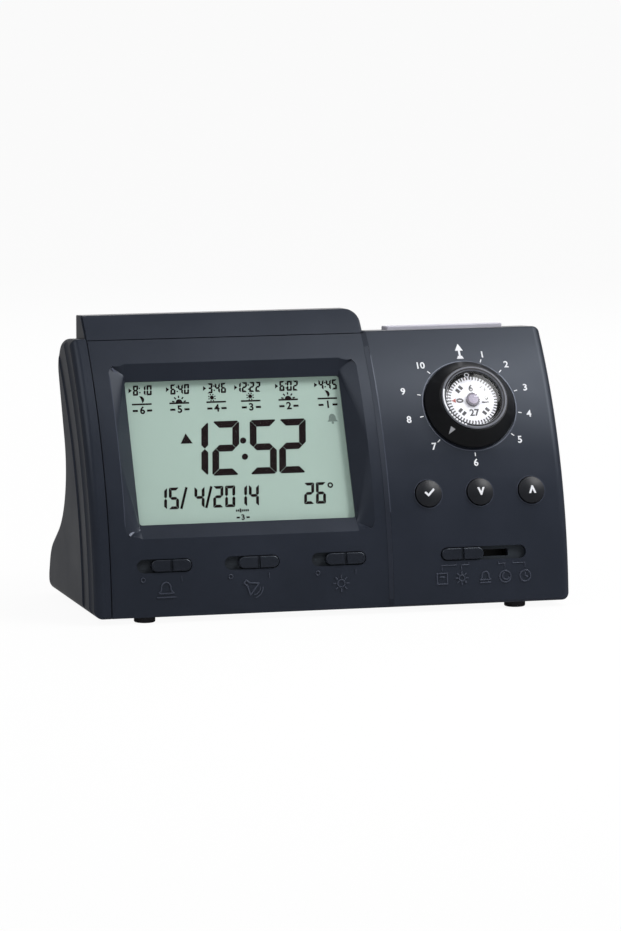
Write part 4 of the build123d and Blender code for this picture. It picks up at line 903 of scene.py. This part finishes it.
def stroke(points, width=0.5, closed=False):
    """Raised line through points given in millimetres."""
    if closed:
        points = points + points[:1]
    bars = []
    for (x0, y0), (x1, y1) in zip(points, points[1:]):
        length = math.hypot(x1 - x0, y1 - y0) + width * 0.6
        turn = math.degrees(math.atan2(y1 - y0, x1 - x0))
        middle_place = shift((x0 + x1) / 2 * MM, (y0 + y1) / 2 * MM, turn)
        bars.append(bake(bar(length * MM, width * MM, relief_height), middle_place))
    return bars


def soften(piece, width):
    """Bevel all the edges of a piece."""
    edit(piece)
    bpy.ops.mesh.bevel(offset=width, segments=2, affect="EDGES")
    bpy.ops.object.mode_set(mode="OBJECT")
    print(piece.name, "has", len(piece.data.polygons), "faces once it is bevelled")


# %% Points of the symbols
def sized(points, factor, x=0.0, y=0.0):
    """Points scaled about the origin and then moved."""
    return [(x + factor * px, y + factor * py) for px, py in points]


def round_line(radius, first, last, x=0.0, y=0.0, steps=12):
    """Points along an arc, from one clockwise angle to another."""
    turns = [math.radians(first + (last - first) * i / steps) for i in range(steps + 1)]
    return [(x + radius * math.sin(a), y + radius * math.cos(a)) for a in turns]


def circle(radius, width=0.5):
    """Closed line of short strokes round the origin."""
    return stroke(round_line(radius, 0, 330), width, closed=True)


def sun_strokes(size, count=8):
    """Circle with short beams round it."""
    lines = circle(size * 0.45)
    for i in range(count):
        a = 2 * math.pi * i / count
        lines += stroke([(size * reach * math.sin(a), size * reach * math.cos(a)) for reach in (0.68, 1.0)])
    return lines


# %% Symbols under the three small slides
panel_lift = sunk - panel_recess / MM
slide_places = (-61.7, -29.9, 1.9)
small_arc, side_mark_arc = 9.4, 13.4
bell_lines = stroke(sized(bell_shape, 1.35, 0, 0.6), closed=True) + stroke([(-3.3, -2.4), (3.3, -2.4)])
parts = on_case(bell_lines, -61.5, small_arc, panel_lift)
horn = stroke([(-3.2, -0.7), (-1.6, -0.7), (1.2, -2.6), (1.2, 2.6), (-1.6, 0.7), (-3.2, 0.7)], closed=True)
horn += stroke(round_line(2.6, 50, 130, 0.4)) + stroke(round_line(4.0, 55, 125, 0.0))
parts += on_case([bake(line, shift(0, 0, -38)) for line in horn], -30.3, small_arc, panel_lift)
parts += on_case(sun_strokes(2.9), 2.4, small_arc, panel_lift)
for x in slide_places:
    parts += on_case(circle(0.75, width=0.34), x - 8.0, side_mark_arc, panel_lift)
    parts += on_case(stroke([(0, -0.8), (0, 0.8)], 0.34), x + 6.0, side_mark_arc, panel_lift)
# The lighter plastic of the symbols is a painted highlight.
soften(place(parts, "slide_symbols", "case", painted_sheen_plastic), 0.1 * MM)

# %% Symbols under the long slide, each with a line that leads to its place
long_arc, lead_arc = 9.5, 14
page = [(-1.9, -1.9), (1.9, -1.9), (1.9, 1.9), (-1.9, 1.9)]
long_symbols = (
    (39.5, stroke(page, closed=True) + stroke([(-0.9, 0.6), (0.9, 0.6)])),
    (46.8, sun_strokes(2.3)),
    (55.6, stroke(sized(bell_shape, 1.0, 0, 0.3), closed=True) + stroke([(-1.9, -1.9), (1.9, -1.9)])),
    (63.0, circle(2.1) + stroke(round_line(1.3, 120, 330, 0.3, 0.2))),
    (70.5, circle(2.0) + stroke([(0, 1.2), (0, 0), (0.9, -0.4)])))
parts = []
for x, lines in long_symbols:
    parts += on_case(lines, x, long_arc, sunk)
for x, start_up, bend in ((39.5, 12.4, 45.0), (46.8, 12.4, 49.5), (63.0, 12.6, 60.5), (70.5, 12.6, 66.0)):
    foot, turn_off = x - knob_x, bend - knob_x
    lead = [(foot, start_up - lead_arc), (foot, 0.2), (turn_off, 0.2), (turn_off, 1.0)]
    parts += on_case(stroke(lead, 0.3), knob_x, lead_arc, sunk)
soften(place(parts, "long_slide_symbols", "case", painted_sheen_plastic), 0.1 * MM)

# %% [markdown]
# ## Liners in the slots
#
# A slide knob runs over a thin strip that hides the inside of the case. The strip is a little lighter
# than the case, painted light that lifts the shade in the slot. Each strip is half an outline with the
# stem's opening left out of it, and its mirror image.

# %% Liners
def half_liner(length, height, slot_length, slot_height, side, steps=10):
    """Upper (side 1) or lower (side -1) half of a strip with a straight opening, in millimetres."""
    radius = height / 2
    middle = length / 2 - radius
    turns = [math.pi / 2 * i / steps for i in range(steps + 1)]
    points = [(middle + radius * math.cos(a), side * radius * math.sin(a)) for a in turns]
    points += [(-middle - radius * math.sin(a), side * radius * math.cos(a)) for a in turns]
    points += [(-slot_length / 2, 0), (-slot_length / 2, side * slot_height / 2),
               (slot_length / 2, side * slot_height / 2), (slot_length / 2, 0)]
    return outline(points, 0.1 * MM)


slot_arc, pocket_height, slot_height = 18.2, 4.74, 2.5
slots = [(x, 19.94, 8.5, 2.8) for x in slide_places] + [(55.2, 31.74, 19.3, 1.8)]
parts = []
for x, length, slot_length, floor_depth in slots:
    for side in (1, -1):
        parts += on_case([half_liner(length, pocket_height, slot_length, slot_height, side)],
                         x, slot_arc, -floor_depth)
place(parts, "slot_liners", "case", painted_light_liner)

# %% [markdown]
# ## The studio
#
# The clock stands on a plain white table with white all round it. Lamps bright enough to make the table
# white would bleach the clock, so the white is a glow for the camera's rays, straight or through glass.
# A mirror in the plastic shows that glow dimmed, or the dark case would look grey.

# %% A value that depends on the ray
def by_ray(tree, other, mirrored, seen):
    """Socket whose value depends on the ray: one the camera sees, straight or through glass, one in a
    mirror, or any other."""
    kinds = tree.nodes.new("ShaderNodeLightPath")
    base, whole = [tree.nodes.new("ShaderNodeMapRange") for _ in range(2)]
    either = tree.nodes.new("ShaderNodeMath")
    either.operation = "MAXIMUM"
    tree.links.new(kinds.outputs["Is Glossy Ray"], base.inputs["Value"])
    base.inputs["To Min"].default_value = other
    base.inputs["To Max"].default_value = mirrored
    tree.links.new(kinds.outputs["Is Camera Ray"], either.inputs[0])
    tree.links.new(kinds.outputs["Is Transmission Ray"], either.inputs[1])
    tree.links.new(either.outputs["Value"], whole.inputs["Value"])
    tree.links.new(base.outputs["Result"], whole.inputs["To Min"])
    whole.inputs["To Max"].default_value = seen
    return whole.outputs["Result"]


# %% Floor
start()
bpy.ops.mesh.primitive_plane_add(size=80, location=(0, 0, 0))
floor = bpy.context.object
floor.name = "studio_floor"
paper = bpy.data.materials.new("studio_paper")
paper.use_nodes = True
paper_tree = paper.node_tree
paper_surface = paper_tree.nodes["Principled BSDF"]
paper_surface.inputs["Base Color"].default_value = (0.86, 0.86, 0.86, 1)
paper_surface.inputs["Roughness"].default_value = 0.9
glow = paper_tree.nodes.new("ShaderNodeEmission")
glow.inputs["Color"].default_value = (1, 1, 1, 1)
paper_tree.links.new(by_ray(paper_tree, 0.0, 0.24, 1.0), glow.inputs["Strength"])
blend = paper_tree.nodes.new("ShaderNodeMixShader")
paper_tree.links.new(by_ray(paper_tree, 0.0, 0.94, 0.94), blend.inputs["Fac"])
paper_tree.links.new(paper_surface.outputs["BSDF"], blend.inputs[1])
paper_tree.links.new(glow.outputs["Emission"], blend.inputs[2])
paper_tree.links.new(blend.outputs["Shader"], paper_tree.nodes["Material Output"].inputs["Surface"])
floor.data.materials.append(paper)
print("floor is", floor.dimensions.x, "m wide")

# %% World
world = bpy.data.worlds.new("studio_world")
bpy.context.scene.world = world
world.use_nodes = True
sky = world.node_tree.nodes["Background"]
sky.inputs["Color"].default_value = (1, 1, 1, 1)
world.node_tree.links.new(by_ray(world.node_tree, 0.33, 0.22, 1.0), sky.inputs["Strength"])
print("nodes of the world:", len(world.node_tree.nodes))

# %% [markdown]
# ## Lamps
#
# A small soft lamp and a wide one stand high on the right and give the broad glow on the curved front.
# One on the left keeps the bevel beside the display readable, and one behind lights the back. A lamp is
# placed by its angles and its distance, as one would carry it round the table.

# %% Four soft lamps
def soft_lamp(name, azimuth, elevation, distance, size, power, aim=(0, 0, 0.05)):
    """Square lamp that looks at the clock. Azimuth 0 is in front, and plus is to the right."""
    data = bpy.data.lights.new(name, "AREA")
    data.size = size
    data.energy = power
    lamp = bpy.data.objects.new(name, data)
    bpy.context.collection.objects.link(lamp)
    turn, rise = math.radians(azimuth), math.radians(elevation)
    away = Vector((math.sin(turn) * math.cos(rise), -math.cos(turn) * math.cos(rise), math.sin(rise)))
    lamp.location = Vector(aim) + distance * away
    lamp.rotation_euler = away.to_track_quat("Z", "Y").to_euler()
    print(name, "stands", round(lamp.location.z, 2), "m high")


soft_lamp("key_lamp", 50, 47, 0.7, 0.28, 2.0)
soft_lamp("wide_lamp", 70, 48, 1.0, 0.85, 5.6)
soft_lamp("side_lamp", -60, 46, 1.0, 0.6, 2.2)
soft_lamp("back_lamp", 160, 32, 1.0, 0.6, 3.0)

# %% [markdown]
# ## Camera
#
# The clock is seen from the left and a little above through a long lens, which keeps its upright edges
# nearly parallel. The lens follows from the render's height and the size the clock should have in it.

# %% Camera
camera_azimuth = math.radians(15.189)
camera_elevation = math.radians(7.592)
camera_distance = 1.857
camera_aim = Vector((-3.95, -19, 51.5)) * MM
sensor_size = 36
focal_pixels = 5202
image_height = 931
lens = bpy.data.cameras.new("camera")
lens.sensor_fit = "VERTICAL"
lens.sensor_height = sensor_size
lens.lens = focal_pixels * sensor_size / image_height
camera = bpy.data.objects.new("camera", lens)
bpy.context.collection.objects.link(camera)
towards = Vector((-math.sin(camera_azimuth) * math.cos(camera_elevation),
                  -math.cos(camera_azimuth) * math.cos(camera_elevation), math.sin(camera_elevation)))
camera.location = camera_aim + camera_distance * towards
camera.rotation_euler = towards.to_track_quat("Z", "Y").to_euler()
bpy.context.scene.camera = camera
bpy.context.scene.view_settings.view_transform = "Standard"
print("lens:", round(lens.lens, 1), "mm")
